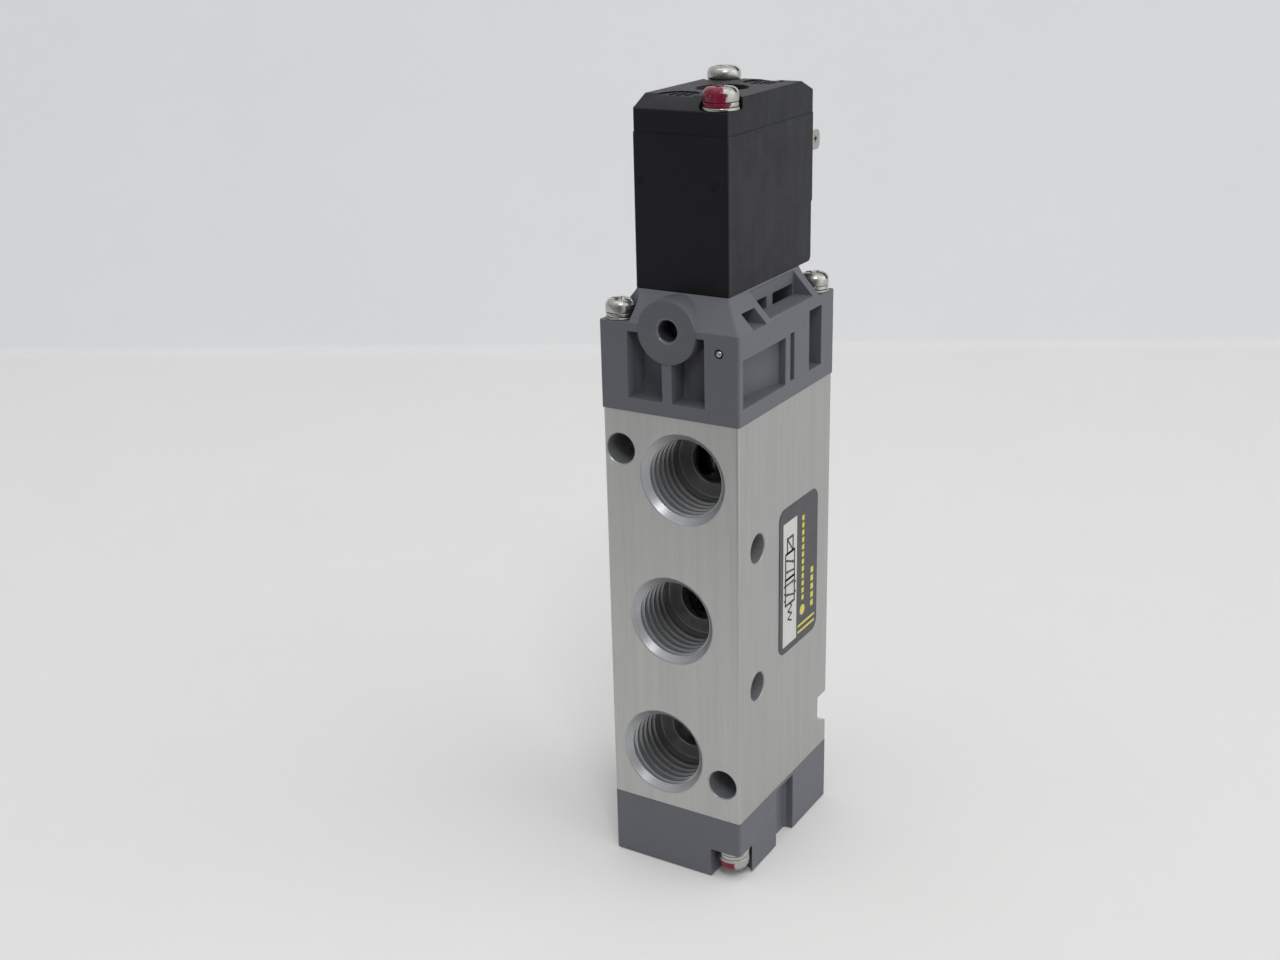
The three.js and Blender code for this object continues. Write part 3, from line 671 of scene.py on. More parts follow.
def nickel(name="nickel_plate", tint=TINT):
    k = Mat(name)
    g = k.noise(2.6, 3, 0.6)
    s = k.noise(0.8, 2, 0.5, offset=(3, 3, 3))
    f = k.noise(11.0, 2, 0.5, offset=(1, 4, 2))
    dark = tuple(c * 0.90 for c in tint)
    col = k.mix(k.ramp(g, 0.32, 0.7), dark, tint)
    col = k.mix(k.ramp(s, 0.60, 0.76, 0.0, 0.20), col, (0.42, 0.38, 0.31))
    rough = k.ramp(g, 0.3, 0.7, 0.30, 0.26)
    k.bump(g, 0.002, 0.2)
    k.bump(f, 0.0006, 0.2)
    return k.done(col, rough, 1.0, 0.5)


def painted_nickel(name, c, left, edge, down=None, wobble=0.85, dome=None):
    """Nickel with a dab of crimson locking paint on the side that faces along left."""
    k = Mat(name)
    g = k.noise(2.6, 3, 0.6)
    metal = k.mix(k.ramp(g, 0.32, 0.7), tuple(v * 0.86 for v in TINT), TINT)
    d = k.math("SUBTRACT", k.dot(left), sum(a * b for a, b in zip(left, c)))
    wob = k.noise(0.9, 4, 0.65, offset=(6, 2, 1))
    d = k.math("ADD", d, k.ramp(wob, 0.25, 0.75, -wobble, wobble))
    mask = k.ramp(d, edge - 0.10, edge + 0.12)
    if down is not None:
        mask = k.math("MULTIPLY", mask, down(k))
    thin = k.noise(1.7, 3, 0.6, offset=(1, 9, 4))
    paint = k.mix(k.ramp(thin, 0.35, 0.7), (0.12, 0.004, 0.018), (0.30, 0.013, 0.048))
    col = k.mix(k.math("MULTIPLY", mask, k.ramp(thin, 0.25, 0.45, 0.80, 1.0)), metal, paint)
    # painted shade: with dome, the head is darkened towards its underside, standing in for the shadow it faces over
    # the floor
    if dome:
        col = k.mix(k.ramp(k.xyz()[2], dome[0], dome[1], 0.92, 0.0), col, (0.045, 0.038, 0.030))
    rough = k.mix(mask, (0.33, 0.33, 0.33), (0.24, 0.24, 0.24))
    met = k.math("SUBTRACT", 1.0, k.math("MULTIPLY", mask, 0.93))
    k.bump(mask, 0.03, 0.5)
    k.bump(thin, 0.012, 0.3)
    sep = k.t.nodes.new("ShaderNodeSeparateColor")
    k.link(rough, sep.inputs[0])
    return k.done(col, sep.outputs[0], met, 0.35)


def steel(name="ground_steel", tint=(0.50, 0.50, 0.49)):
    k = Mat(name)
    g = k.noise((4.0, 4.0, 9.0), 3, 0.6)
    col = k.mix(k.ramp(g, 0.3, 0.7), tuple(c * 0.75 for c in tint), tint)
    k.bump(g, 0.004, 0.3)
    return k.done(col, k.ramp(g, 0.3, 0.7, 0.22, 0.34), 1.0, 0.5)


def rubber():
    k = Mat("nitrile_rubber")
    g = k.noise(5.0, 4, 0.6)
    s = k.noise(0.8, 2, 0.5)
    col = k.mix(k.ramp(s, 0.3, 0.7), (0.012, 0.012, 0.012), (0.028, 0.027, 0.026))
    k.bump(g, 0.012, 0.4)
    return k.done(col, k.ramp(g, 0.3, 0.7, 0.55, 0.75), 0.0, 0.4)


def brass():
    k = Mat("turned_brass")
    g = k.noise((3.0, 3.0, 8.0), 3, 0.6)
    col = k.mix(k.ramp(g, 0.3, 0.7), (0.42, 0.28, 0.11), (0.62, 0.44, 0.19))
    k.bump(g, 0.004, 0.3)
    return k.done(col, k.ramp(g, 0.3, 0.7, 0.26, 0.38), 1.0, 0.5)


def copper():
    k = Mat("enamelled_copper")
    g = k.noise((0.6, 0.6, 5.0), 3, 0.6)
    col = k.mix(k.ramp(g, 0.3, 0.7), (0.34, 0.10, 0.035), (0.56, 0.20, 0.08))
    k.bump(g, 0.01, 0.4)
    return k.done(col, 0.32, 0.85, 0.5, Coat_Weight=0.4)


def acetal():
    k = Mat("acetal")
    g = k.noise(4.0, 3, 0.6)
    s = k.noise(0.5, 2, 0.5)
    col = k.mix(k.ramp(s, 0.3, 0.7), (0.62, 0.60, 0.53), (0.74, 0.72, 0.66))
    k.bump(g, 0.006, 0.4)
    return k.done(col, k.ramp(g, 0.3, 0.7, 0.36, 0.48), 0.0, 0.5)


def print_film(name, a, b, rough=0.4):
    k = Mat(name)
    g = k.noise(3.0, 3, 0.6)
    s = k.noise((0.5, 0.5, 0.2), 3, 0.6, offset=(2, 2, 2))
    col = k.mix(k.ramp(s, 0.3, 0.7), a, b)
    worn = k.noise(1.3, 4, 0.7, offset=(5, 1, 7))
    col = k.mix(k.ramp(worn, 0.68, 0.76, 0.0, 0.35), col, tuple(0.5 * (x + y) * 0.7 + 0.06 for x, y in zip(a, b)))
    k.bump(g, 0.004, 0.3)
    return k.done(col, k.ramp(g, 0.3, 0.7, rough - 0.05, rough + 0.07), 0.0, 0.4)


GREY_A, GREY_B = (0.117, 0.121, 0.138), (0.141, 0.145, 0.164)
BLACK_A, BLACK_B = (0.0060, 0.0064, 0.0086), (0.0100, 0.0105, 0.0134)
M_ALU = aluminium_brushed()
M_ALU2 = aluminium_machined()
# drilled holes: less metallic than the machined faces, and painted shade: its colours darkened to 0.86
M_ALU3_SHADE = aluminium_machined("aluminium_drilled_and_shaded", 0.52, 0.30, 0.86, 0.0)
M_GREY = plastic("grey_polyamide", GREY_A, GREY_B, 0.46, 0.60, 0.014)
M_LIP = plastic("grey_polyamide_lip", GREY_A, GREY_B, 0.10, 0.15, 0.001, spec=0.8)
# painted shade: the boss face is a darker copy of the grey, standing in for its different gloss
M_BOSS_SHADE = plastic("grey_polyamide_boss_shade", tuple(v * 0.89 for v in GREY_A), tuple(v * 0.89 for v in GREY_B), 0.46, 0.58, 0.010)
# painted shade: the inside wall of the override bore is a darker copy of the grey
M_BORE_SHADE = plastic("grey_polyamide_bore_shade", tuple(v * 0.42 for v in GREY_A), tuple(v * 0.46 for v in GREY_B), 0.34, 0.42, 0.006)
M_BLACK = plastic("black_polyamide", BLACK_A, BLACK_B, 0.42, 0.50, 0.012, mottled=0.6, spec=0.25)
M_DARK = plastic("dark_acetal", (0.012, 0.012, 0.013), (0.02, 0.02, 0.021), 0.28, 0.36, 0.004, spec=0.5)
M_NICKEL = nickel()
M_STEEL = steel()
M_STEEL2 = steel("ferritic_steel", (0.42, 0.42, 0.41))
M_RUBBER = rubber()
M_BRASS = brass()
M_COPPER = copper()
M_ACETAL = acetal()
M_LABEL = print_film("label_film", (0.050, 0.050, 0.057), (0.064, 0.064, 0.071), 0.42)
M_WHITE = print_film("label_white", (0.575, 0.575, 0.545), (0.635, 0.635, 0.605), 0.42)
M_INK = print_film("label_ink", (0.016, 0.016, 0.018), (0.03, 0.03, 0.032), 0.4)
M_YELLOW = print_film("label_yellow", (0.62, 0.56, 0.06), (0.72, 0.66, 0.12), 0.4)
LEFT = (-0.8565, -0.5156, 0.0)


def finish_piece(ob, node, mats, sharp=32, weighted=True, body=None, name=None):
    """To metres, shaded, painted, riding on its body and standing for its node."""
    ob.data.transform(Matrix.Scale(0.001, 4))
    me = ob.data
    me.materials.clear()
    for m in mats if isinstance(mats, (list, tuple)) else [mats]:
        me.materials.append(m)
    me.polygons.foreach_set("use_smooth", [True] * len(me.polygons))
    me.set_sharp_from_angle(angle=math.radians(sharp))
    if weighted:
        w = ob.modifiers.new("normals", "WEIGHTED_NORMAL")
        w.mode = "FACE_AREA"
        w.weight = 60
        w.keep_sharp = True
    ob.name = name or (node + "_look")
    me.name = ob.name
    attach(ob, body or BODY_OF[node])
    if node:
        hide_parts(node)
    return ob


# ------------------------------------------------------------------ valve body
def threaded_port(origin, axis):
    """Cutters of one G 1/4 port: countersink with a broken edge, helical thread, relief, floor and the hole to the bore."""
    m = along(origin, axis)
    bore = lathe(
        [
            (0, -1.0),
            (6.99, -1.0),
            (6.99, 0.0),
            (6.93, 0.04),
            (6.80, 0.09),
            (6.74, 0.17),
            (5.93, 0.97),
            (5.78, 1.06),
            (5.72, 1.16),
            (5.72, 8.72),
            (5.62, 8.9),
            (5.4, 9.0),
            (3.5, 9.0),
            (3.4, 9.08),
            (3.4, 11.1),
            (0, 11.1),
        ],
        72,
        m,
    )
    helix = thread(5.60, 6.50, 1.337, -0.6, 8.2, n=72, m=m)
    common(helix, cyl(7.2, 0.95, 7.7, m, 48))
    return [bore, helix]


def through_y(x, z, r):
    c = 0.16
    y = BY1
    return lathe(
        [
            (0, -y - 1),
            (r + c + 1.0, -y - 1.0),
            (r, -y + c),
            (r, y - c),
            (r + c + 1.0, y + 1.0),
            (0, y + 1),
        ],
        56,
        along((x, 0, z), (0, 1, 0)),
    )


def through_x(y, z, r):
    c = 0.16
    x = BX1
    return lathe(
        [
            (0, -x - 1),
            (r + c + 1.0, -x - 1.0),
            (r, -x + c),
            (r, x - c),
            (r + c + 1.0, x + 1.0),
            (0, x + 1),
        ],
        56,
        along((0, y, z), (1, 0, 0)),
    )


body = rounded_block("body", BX0, BX1, BY0, BY1, Z_CAP, Z_COVER, 0.5, 0.05, 0.05, n=6, k=2)
tools = [cyl(5.4, Z_CAP - 1, Z_COVER + 1)]
for x, z in FRONT_PORTS:
    tools += threaded_port((x, BY0, z), (0, 1, 0))
for x, z in REAR_PORTS:
    tools += threaded_port((x, BY1, z), (0, -1, 0))
tools += [through_y(-8.23, 67.58, 2.3), through_y(8.01, 16.65, 2.3)]
tools += [through_x(-9.3, 53.58, 2.2), through_x(-9.3, 31.35, 2.2)]
notch = fillet(
    [(11.75, 15.45, 0.25), (BY1 + 1, 13.6), (BY1 + 1, 19.6), (11.75, 19.6, 0.25)], n=4
)
tools.append(prism_x(notch, BX0 - 1, BX1 + 1))
for n in ("cover_screw_front", "cover_screw_rear"):
    x, y = centre(n)
    tools.append(cyl(1.4, 70.3, Z_COVER + 1, at(x, y), 32))
for n in ("cap_screw_front", "cap_screw_rear"):
    x, y = centre(n)
    tools.append(cyl(1.4, Z_CAP - 1, 14.1, at(x, y), 32))
cut(body, *tools)
soften(body, 0)
finish_piece(body, "valve_body", [M_ALU, M_ALU2, M_ALU3_SHADE], sharp=30)
CROSS = [(0, 67.58, -8.23), (0, 16.65, 8.01), (1, 53.58, -9.3), (1, 31.35, -9.3)]

for p in body.data.polygons:
    c = p.center * 1000
    inside = abs(c.x) < BX1 - 0.03 and abs(c.y) < BY1 - 0.03
    if inside and Z_CAP + 0.1 < c.z < Z_COVER - 0.1 and not (
        c.y > 11.6 and 13 < c.z < 20
    ):
        corner = abs(c.x) > BX1 - 0.52 and abs(c.y) > BY1 - 0.52
        p.material_index = 0 if corner else 1
        # the cross holes take the drilled finish with its painted shade
        for axis, z_, u in CROSS:
            if math.hypot(c[axis] - u, c.z - z_) < 2.6:
                p.material_index = 2


# ------------------------------------------------------------------ pilot cover
def frustum_sections(r):
    def s(hx, hy, z, rr):
        return [(x, y, z) for x, y in rect(-hx, hx, -hy, hy, rr, 5)]

    return [
        s(CX, 15.22, Z_COVER, r),
        s(CX, 15.22, Z_SH, r),
        s(7.4, 11.0, Z_COIL, 0.3),
    ]


cover = loft("cover", frustum_sections(0.4))
HYC = 15.22
tools = []
for tag, s in (("front", -1), ("rear", 1)):
    x, y = centre("cover_screw_" + tag)
    pts = [
        (x - s * 2.65, y + s * 5),
        (x - s * 2.65, y - s * 2.65, 2.65),
        (x + s * 5, y - s * 2.65),
        (x + s * 5, y + s * 5),
    ]
    tools.append(prism_z(fillet(pts, n=12), Z_SH, Z_COIL + 1))
    tools.append(cyl(1.4, Z_COVER - 1, Z_SH + 1, at(x, y), 32))
for turn in (0, 1):
    parts = [
        prism_z(
            fillet(
                [
                    (-6.7, -HYC - 1),
                    (-1.05, -HYC - 1),
                    (-1.05, -11.55, 0.25),
                    (-5.75, -11.85, 0.12),
                    (-6.35, -13.2, 1.2),
                ],
                n=5,
            ),
            75.6,
            85.3,
        ),
        prism_z(
            fillet(
                [(0.55, -HYC - 1), (5.73, -HYC - 1), (5.73, -10.9, 0.25), (0.55, -11.6, 0.25)],
                n=4,
            ),
            75.6,
            85.5,
        ),
        prism_z(
            fillet(
                [
                    (CX + 1, -13.95),
                    (CX + 1, -0.95),
                    (9.95, -0.95, 0.2),
                    (9.55, -1.7, 0.4),
                    (7.3, -13.95, 0.3),
                ],
                n=4,
            ),
            75.95,
            82.9,
        ),
        cuboid(9.8, CX + 1, 0.6, 1.85, 76.05, 83.1),
        cuboid(8.4, CX + 1, 6.8, 10.9, 75.95, 85.0),
        cuboid(7.1, CX + 1, -10.9, -7.05, 86.35, 88.5),
        cuboid(7.6, CX + 1, -5.4, 8.5, 86.8, 90.25),
        cuboid(4.2, 7.61, -5.4, -0.08, 84.6, 88.4),
        cuboid(4.2, 7.61, 1.81, 8.3, 84.6, 88.4),
    ]
    if turn:
        for p in parts:
            p.data.transform(Matrix.Rotation(math.pi, 4, "Z"))
    tools += parts
cut(cover, *tools)
boss = lathe(
    [(0, 0), (4.6, 0), (4.6, 6.35), (0, 6.35)], 96, along((-0.15, B["pilot_cover"][0][1], 85.8), (0, 1, 0))
)
join(cover, boss)
# boss round the rear coil screw, where its hole would break out of the slope
join(cover, cyl(2.1, 82.5, Z_COIL, at(*centre("coil_screw_rear")[:2]), 48))
tools = [
    cyl(7.9, Z_COVER - 1, 82.2, n=72),
    ring_solid(8.3, 9.5, Z_COVER - 1, Z_COVER + 1.0, 72, e=0.01),
    lathe(
        [(0, -1), (1.92, -1), (1.92, 0.0), (1.80, 0.04), (1.68, 0.13), (1.57, 0.27), (1.5, 0.45), (1.5, 12.35), (0, 12.35)],
        48,
        along((OVX, B["pilot_cover"][0][1], OVZ), (0, 1, 0)),
    ),
    cyl(0.7, 82.0, 89.0, at(0, TY), 24),
    cyl(1.6, 88.15, Z_COIL + 1, at(0, TY), 32),
    ring_solid(2.3, 4.3, 89.7, Z_COIL + 1, 48, at(0, TY), e=0.01),
    lathe(
        [(0, -1), (0.74, -1), (0.74, 0.0), (0.66, 0.08), (0.66, 1.9), (0, 1.9)],
        32,
        along((7.97, -HYC, 83.74), (0, 1, 0)),
    ),
]
for n in ("coil_screw_front", "coil_screw_rear"):
    x, y = centre(n)
    tools.append(cyl(1.4, 83.3, Z_COIL + 1, at(x, y), 32))
cut(cover, *tools)
soften(cover, 0.09, angle=28, segs=2, only=lambda c: Z_COVER + 0.3 < c.z < Z_COIL - 0.02 and (abs(c.x) > 6.2 or abs(c.y) > 10.6))
finish_piece(cover, "pilot_cover", [M_GREY, M_LIP, M_BORE_SHADE, M_BOSS_SHADE], sharp=34)
for p in cover.data.polygons:
    c = p.center * 1000
    # the lip of the override bore takes the glossy copy, its inside wall the darker copy as painted shade
    if math.hypot(c.x - OVX, c.z - OVZ) < 1.95 and p.normal.y > -0.99:
        p.material_index = 1 if c.y < B["pilot_cover"][0][1] + 0.44 else 2
    # the boss's front face takes the darker copy of the grey, as painted shade
    elif c.y < B["pilot_cover"][0][1] + 0.03:
        p.material_index = 3


# ------------------------------------------------------------------ end cap
cap = rounded_block("cap", -EX, EX, -EY, EY, 0.0, Z_CAP, 0.5, 0.3, 0.0, n=6, k=4)
tools = []
for tag, s in (("front", 1), ("rear", -1)):
    x, y = centre("cap_screw_" + tag)
    # round pocket over the screw head, open to the corner
    pts = [(x - s * 2.75, y - s * 5), (x - s * 2.75, y)]
    pts += [
        (x - s * 2.75 * math.cos(math.radians(a)), y + s * 2.75 * math.sin(math.radians(a)))
        for a in range(8, 180, 8)
    ]
    pts += [(x + s * 2.75, y), (x + s * 5, y), (x + s * 5, y - s * 5)]
    tools.append(prism_z(pts, -1, 4.85))
    tools.append(cyl(1.4, 4, Z_CAP + 1, at(x, y), 32))
    ch = [
        (s * 9.5, -2.9, 0.55),
        (s * 9.5, 2.9, 0.55),
        (s * (EX + 1), 2.9),
        (s * (EX + 1), -2.9),
    ]
    tools.append(prism_z(fillet(ch, n=5), -1, 10.0))
tools.append(cyl(4.6, 2.5, Z_CAP + 1))
tools.append(ring_solid(6.0, 7.2, 9.6, Z_CAP + 1, 64, e=0.01))
cut(cap, *tools)
soften(cap, 0.1, angle=30, segs=2, only=lambda c: c.z < Z_CAP - 0.3 and (abs(c.x) > 5 or abs(c.y) > 8))
finish_piece(cap, "end_cap", M_GREY, sharp=34)


# ------------------------------------------------------------------ coil block
HX = B["coil_housing"][1][0]
HY0 = B["coil_housing"][0][1]
HY1 = B["coil_housing"][1][1]
side = fillet(
    [
        (HY0, Z_COIL, 0.25),
        (14.7, Z_COIL, 0.8),
        (14.7, 99.4, 0.15),
        (HY1, 99.4, 0.15),
        (HY1, Z_PART),
        (HY0, Z_PART),
    ],
    n=4,
)
# flat sides with rounded vertical edges
housing = prism_x(side, -HX, HX, "housing")
plan = cuboid(-HX, HX, HY0, HY1, Z_COIL - 1, Z_PART + 1, 0.35, 6)
common(housing, plan)
tools = [
    cuboid(-6.5, 6.5, -5.8, 8.2, 91.7, Z_PART + 1, 0.5),
    cyl(3.3, Z_COIL - 1, 92, at(0, TY)),
]
for n in ("coil_screw_front", "coil_screw_rear"):
    x, y = centre(n)
    tools.append(cyl(1.4, Z_COIL - 1, Z_PART + 1, at(x, y), 32))
for s in (-1, 1):
    tools.append(cuboid(s * 4.7 - 0.35, s * 4.7 + 0.35, 12.7, 20, 105.65, 108.75))
tools.append(cuboid(-1.55, 1.55, 12.7, 20, 100.95, 101.65))
# mould marks on the front face: two small ejector rings, the gate and a few specks
for x, z, r in ((5.48, 105.6, 0.62), (-6.14, 105.6, 0.5)):
    tools.append(
        lathe(
            [(r - 0.2, -1), (r, -1), (r, 0.07), (r - 0.1, 0.1), (r - 0.2, 0.07)],
            32,
            along((x, HY0, z), (0, 1, 0)),
            closed=True,
        )
    )
    tools.append(lathe([(0, -1), (0.16, -1), (0.16, 0.05), (0, 0.09)], 16, along((x + 0.05, HY0, z - 0.1), (0, 1, 0))))
cut(housing, *tools)
spots = [lathe([(0, -0.06), (0.28, -0.05), (0.34, 0.3), (0, 0.3)], 24, along((-0.57, HY0, 107.2), (0, 1, 0)))]
for x, z, r in ((-0.2, 106.5, 0.10), (0.35, 107.6, 0.08), (-1.1, 106.9, 0.07), (0.9, 106.9, 0.06)):
    spots.append(lathe([(0, -0.05), (r, -0.02), (r, 0.2), (0, 0.2)], 12, along((x, HY0, z), (0, 1, 0))))
join(housing, *spots)
soften(housing, 0.07, angle=30, segs=2, only=lambda c: abs(c.z - Z_PART) > 0.3 and (abs(c.x) > 6.9 or c.y < -10 or c.y > 13.5) and not (c.y < HY0 + 0.2 and abs(c.x) < 7.0))
finish_piece(housing, "coil_housing", M_BLACK, sharp=34)

PX = B["coil_cap"][1][0]
PY0, PY1 = B["coil_cap"][0][1], B["coil_cap"][1][1]
prof = fillet(
    [
        (PY0, Z_PART),
        (PY1, Z_PART),
        (PY1, 115.4, 0.5),
        (11.3, Z_TOP, 0.5),
        (-7.54, Z_TOP, 0.35),
        (PY0, 115.35, 0.35),
    ],
    n=5,
)
top = prism_x(prof, -PX, PX, "coil_top")
common(top, cuboid(-PX, PX, PY0, PY1, Z_PART - 1, Z_TOP + 1, 0.3, 6))
tools = []
for tag, seat in (("front", B["coil_flat_washer_front"][0][2] - 0.02), ("rear", B["coil_flat_washer_rear"][0][2] - 0.02)):
    x, y = centre("coil_screw_" + tag)
    tools.append(cyl(1.4, Z_PART - 1, Z_TOP + 1, at(x, y), 32))
    tools.append(cyl(2.9, seat, Z_TOP + 1, at(x, y), 64))
tools.append(cyl(3.7, 116.2, Z_TOP + 1, at(0, TY), 72))
tools.append(cyl(2.9, 116.8, Z_TOP + 1, at(-2.4, -6.9), 56))
tools.append(cyl(2.9, 116.8, Z_TOP + 1, at(2.4, 8.9), 56))
cut(top, *tools)
# low raised marks in the two sinks: three rows of plain dashes each
marks = []
for cx, cy, f in ((-2.4, -6.0, 0.74), (2.4, 8.9, 1.0)):
    for row, dashes in (
        (-1.15, ((-1.1, 0.9), (0.15, 0.7), (1.1, 0.6))),
        (0.0, ((-1.55, 0.7), (-0.45, 1.0), (0.75, 0.7), (1.65, 0.5))),
        (1.15, ((-0.95, 0.7), (0.1, 0.8), (1.05, 0.5))),
    ):
        for off, w_ in dashes:
            marks.append(
                cuboid(cx + row - 0.19, cx + row + 0.19, cy + f * (off - w_ / 2), cy + f * (off + w_ / 2), 116.7, 116.93)
            )
join(top, *marks)
soften(
    top,
    0.10,
    angle=30,
    segs=2,
    only=lambda c: c.z > Z_PART + 0.3
    and not any(math.hypot(c.x - x, c.y - y) < 3.2 and c.z > 116 for x, y in ((-2.4, -6.9), (2.4, 8.9))),
)
finish_piece(top, "coil_cap", M_BLACK, sharp=34)


# ------------------------------------------------------------------ label
(LX0, LY0, LZ0), (LX1, LY1, LZ1) = B["label_plate"]
plate = prism_x(
    rect(LY0, LY1, LZ0, LZ1, 1.7, 10), LX0, LX1 - 0.02, "plate"
)
soften(plate, 0.03, angle=40, segs=1)
finish_piece(plate, "label_plate", M_LABEL)
LZ = LX1 - 0.03


def film(name, polys, x1, mat):
    """Printed areas: thin closed prisms sunk into the plate."""
    verts, faces = [], []
    for pts in polys:
        n, k = len(pts), len(verts)
        verts += [(LZ, y, z) for y, z in pts] + [(x1, y, z) for y, z in pts]
        faces.append(tuple(k + i for i in range(n)))
        faces.append(tuple(k + n + i for i in range(n)))
        faces += [
            (k + i, k + (i + 1) % n, k + n + (i + 1) % n, k + n + i) for i in range(n)
        ]
    ob = make(name, verts, faces)
    ob.data.transform(Matrix.Scale(0.001, 4))
    ob.data.materials.append(mat)
    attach(ob, "valve")
    return ob


def bar(y0, z0, y1, z1, w):
    a, b = Vector((y0, z0)), Vector((y1, z1))
    d = (b - a).normalized()
    s = Vector((-d.y, d.x)) * w / 2
    e = d * w / 2 * 0
    return [tuple(a - s - e), tuple(b - s + e), tuple(b + s + e), tuple(a + s - e)]


WY0, WY1, WZ0, WZ1 = -1.25, 3.35, 34.05, 54.3
film("label_panel", [rect(WY0, WY1, WZ0, WZ1, 0.12, 3)], LX1 - 0.010, M_WHITE)
# generic fluid-power symbol: a two-position, five-port valve with solenoid and spring
ym = (WY0 + WY1) / 2
q = 1.5
zt = 51.6
ink = []
w = 0.40


def frame_box(z_hi, z_lo, half):
    return [
        bar(ym - half, z_hi, ym + half, z_hi, w),
        bar(ym - half, z_lo, ym + half, z_lo, w),
        bar(ym - half, z_hi + w / 2, ym - half, z_lo - w / 2, w),
        bar(ym + half, z_hi + w / 2, ym + half, z_lo - w / 2, w),
    ]


ink += frame_box(zt, zt - 2.4, 0.95)
ink.append(bar(ym - 0.95, zt, ym + 0.95, zt - 2.4, w * 0.8))
z1 = zt - 2.4
ink += frame_box(z1, z1 - 4.2, q)
ink += frame_box(z1 - 4.2, z1 - 8.4, q)


def arrow(y0, z0, y1, z1_):
    a, b = Vector((y0, z0)), Vector((y1, z1_))
    d = (b - a).normalized()
    s = Vector((-d.y, d.x))
    tip = b
    base = b - d * 0.75
    ink.append(bar(y0, z0, base.x, base.y, w * 0.8))
    ink.append([tuple(tip), tuple(base + s * 0.34), tuple(base - s * 0.34)])


arrow(ym - q, z1 - 0.9, ym + q, z1 - 2.1)
arrow(ym + q, z1 - 3.3, ym - q, z1 - 2.9)
arrow(ym - q, z1 - 5.1, ym + q, z1 - 5.1)
arrow(ym + q, z1 - 7.4, ym - q, z1 - 6.6)
for dz in (5.1, 6.3, 7.5):
    ink.append(bar(ym - q, z1 - dz, ym - q - 0.55, z1 - dz, w * 0.8))
for dz in (5.5, 7.1):
    ink.append(bar(ym + q, z1 - dz, ym + q + 0.55, z1 - dz, w * 0.8))
zz = z1 - 8.4
side_ = 1
for i in range(5):
    a = (ym - side_ * 0.7 if i else ym, zz - 0.62 * i)
    b = (ym + side_ * 0.7, zz - 0.62 * (i + 1))
    ink.append(bar(a[0], a[1], b[0], b[1], w * 0.75))
    side_ = -side_
film("label_symbol", ink, LX1 - 0.004, M_INK)
# trim: two bars across the foot of the dark field and two dashed rules beside the panel
trim = [bar(3.9, 35.6, 9.7, 35.6, 0.36), bar(3.9, 34.55, 9.7, 34.55, 0.36)]
trim.append([(5.4 + 0.85 * math.cos(TAU * i / 24), 37.95 + 0.85 * math.sin(TAU * i / 24)) for i in range(24)])
for i in range(12):
    z = 53.6 - i * 1.2
    trim.append(bar(5.5, z, 5.5, z - 0.8, 0.75))
for i in range(5):
    z = 43.9 - i * 1.4
    trim.append(bar(8.75, z, 8.75, z - 0.95, 0.9))
film("label_trim", trim, LX1 - 0.004, M_YELLOW)

# ------------------------------------------------------------------ ball plug
(b0, b1) = B["ball_plug"]
bc = [(a + b) / 2 for a, b in zip(b0, b1)]
br = 0.56
prof = [(0, -br)] + [
    (br * math.cos(math.radians(a)), br * math.sin(math.radians(a)))
    for a in range(-80, 78, 8)
] + [(0.14, br * 0.965), (0, br * 0.955)]
ball = lathe(prof, 40, along(bc, (0, -1, 0)), name="ball")
finish_piece(ball, "ball_plug", M_STEEL, sharp=50)


# ------------------------------------------------------------------ fasteners
def pan_screw(node, up, mat, head_h, head_r, low_edge=None):
    (x0, y0, z0), (x1, y1, z1) = B[node]
    x, y = (x0 + x1) / 2, (y0 + y1) / 2
    length = z1 - z0
    seat = length - head_h
    m = (
        Matrix.Translation((x, y, z0))
        if up > 0
        else Matrix.Translation((x, y, z1)) @ Matrix.Rotation(math.pi, 4, "X")
    )
    h, r = head_h, head_r
    dome = [
        (r * 0.985, seat + 0.06),
        (r, seat + 0.16),
        (r, seat + h * 0.48),
        (r * 0.985, seat + h * 0.60),
        (r * 0.945, seat + h * 0.73),
        (r * 0.87, seat + h * 0.85),
        (r * 0.75, seat + h * 0.94),
        (r * 0.58, seat + h * 0.985),
        (r * 0.35, seat + h),
        (0, seat + h),
    ]
    if low_edge:
        # a rounder head: a short straight edge, then an elliptical dome
        dome = [(r * 0.985, seat + 0.06), (r, seat + 0.16), (r, seat + h * low_edge)]
        for i in range(1, 11):
            a = math.radians(9 * i)
            dome.append((r * math.cos(a) ** 0.8 if i < 10 else 0.0, seat + h * (low_edge + (1 - low_edge) * math.sin(a))))
    pts = [(0, 0), (0.85, 0), (1.1, 0.3), (1.1, seat - 0.2), (1.25, seat - 0.1), (1.25, seat), (r * 0.95, seat)] + dome
    ob = lathe(pts, 56, m, name="screw")
    rod = thread(1.02, 1.24, 0.5, 0.9, min(seat - 0.9, 9.0 if up > 0 else 8.0), n=24, shape=[0, 0.5, 1, 0.5], m=m)
    join(ob, rod)
    top_z = seat + h
    d = 0.8

    def place(t):
        t.data.transform(m)
        return t

    slot = prism_z(
        [(-r - 1, -0.34), (r + 1, -0.34), (r + 1, 0.34), (-r - 1, 0.34)], top_z - d, top_z + 1
    )
    wing = loft(
        "t",
        [
            [(-0.24, -0.7, top_z - d * 1.25), (0.24, -0.7, top_z - d * 1.25), (0.24, 0.7, top_z - d * 1.25), (-0.24, 0.7, top_z - d * 1.25)],
            [(-0.31, -1.32, top_z + 0.3), (0.31, -1.32, top_z + 0.3), (0.31, 1.32, top_z + 0.3), (-0.31, 1.32, top_z + 0.3)],
        ],
    )
    cone = lathe([(0, top_z - 1.35), (0.2, top_z - 1.3), (0.62, top_z - d), (0.78, top_z + 0.3), (0, top_z + 0.3)], 24)
    cut(ob, place(slot), place(wing), place(cone))
    soften(ob, 0.05, angle=40, segs=1, only=lambda c: (c.z - z0 > seat + 0.3 if up > 0 else z1 - c.z > seat + 0.3))
    finish_piece(ob, node, mat, sharp=38)


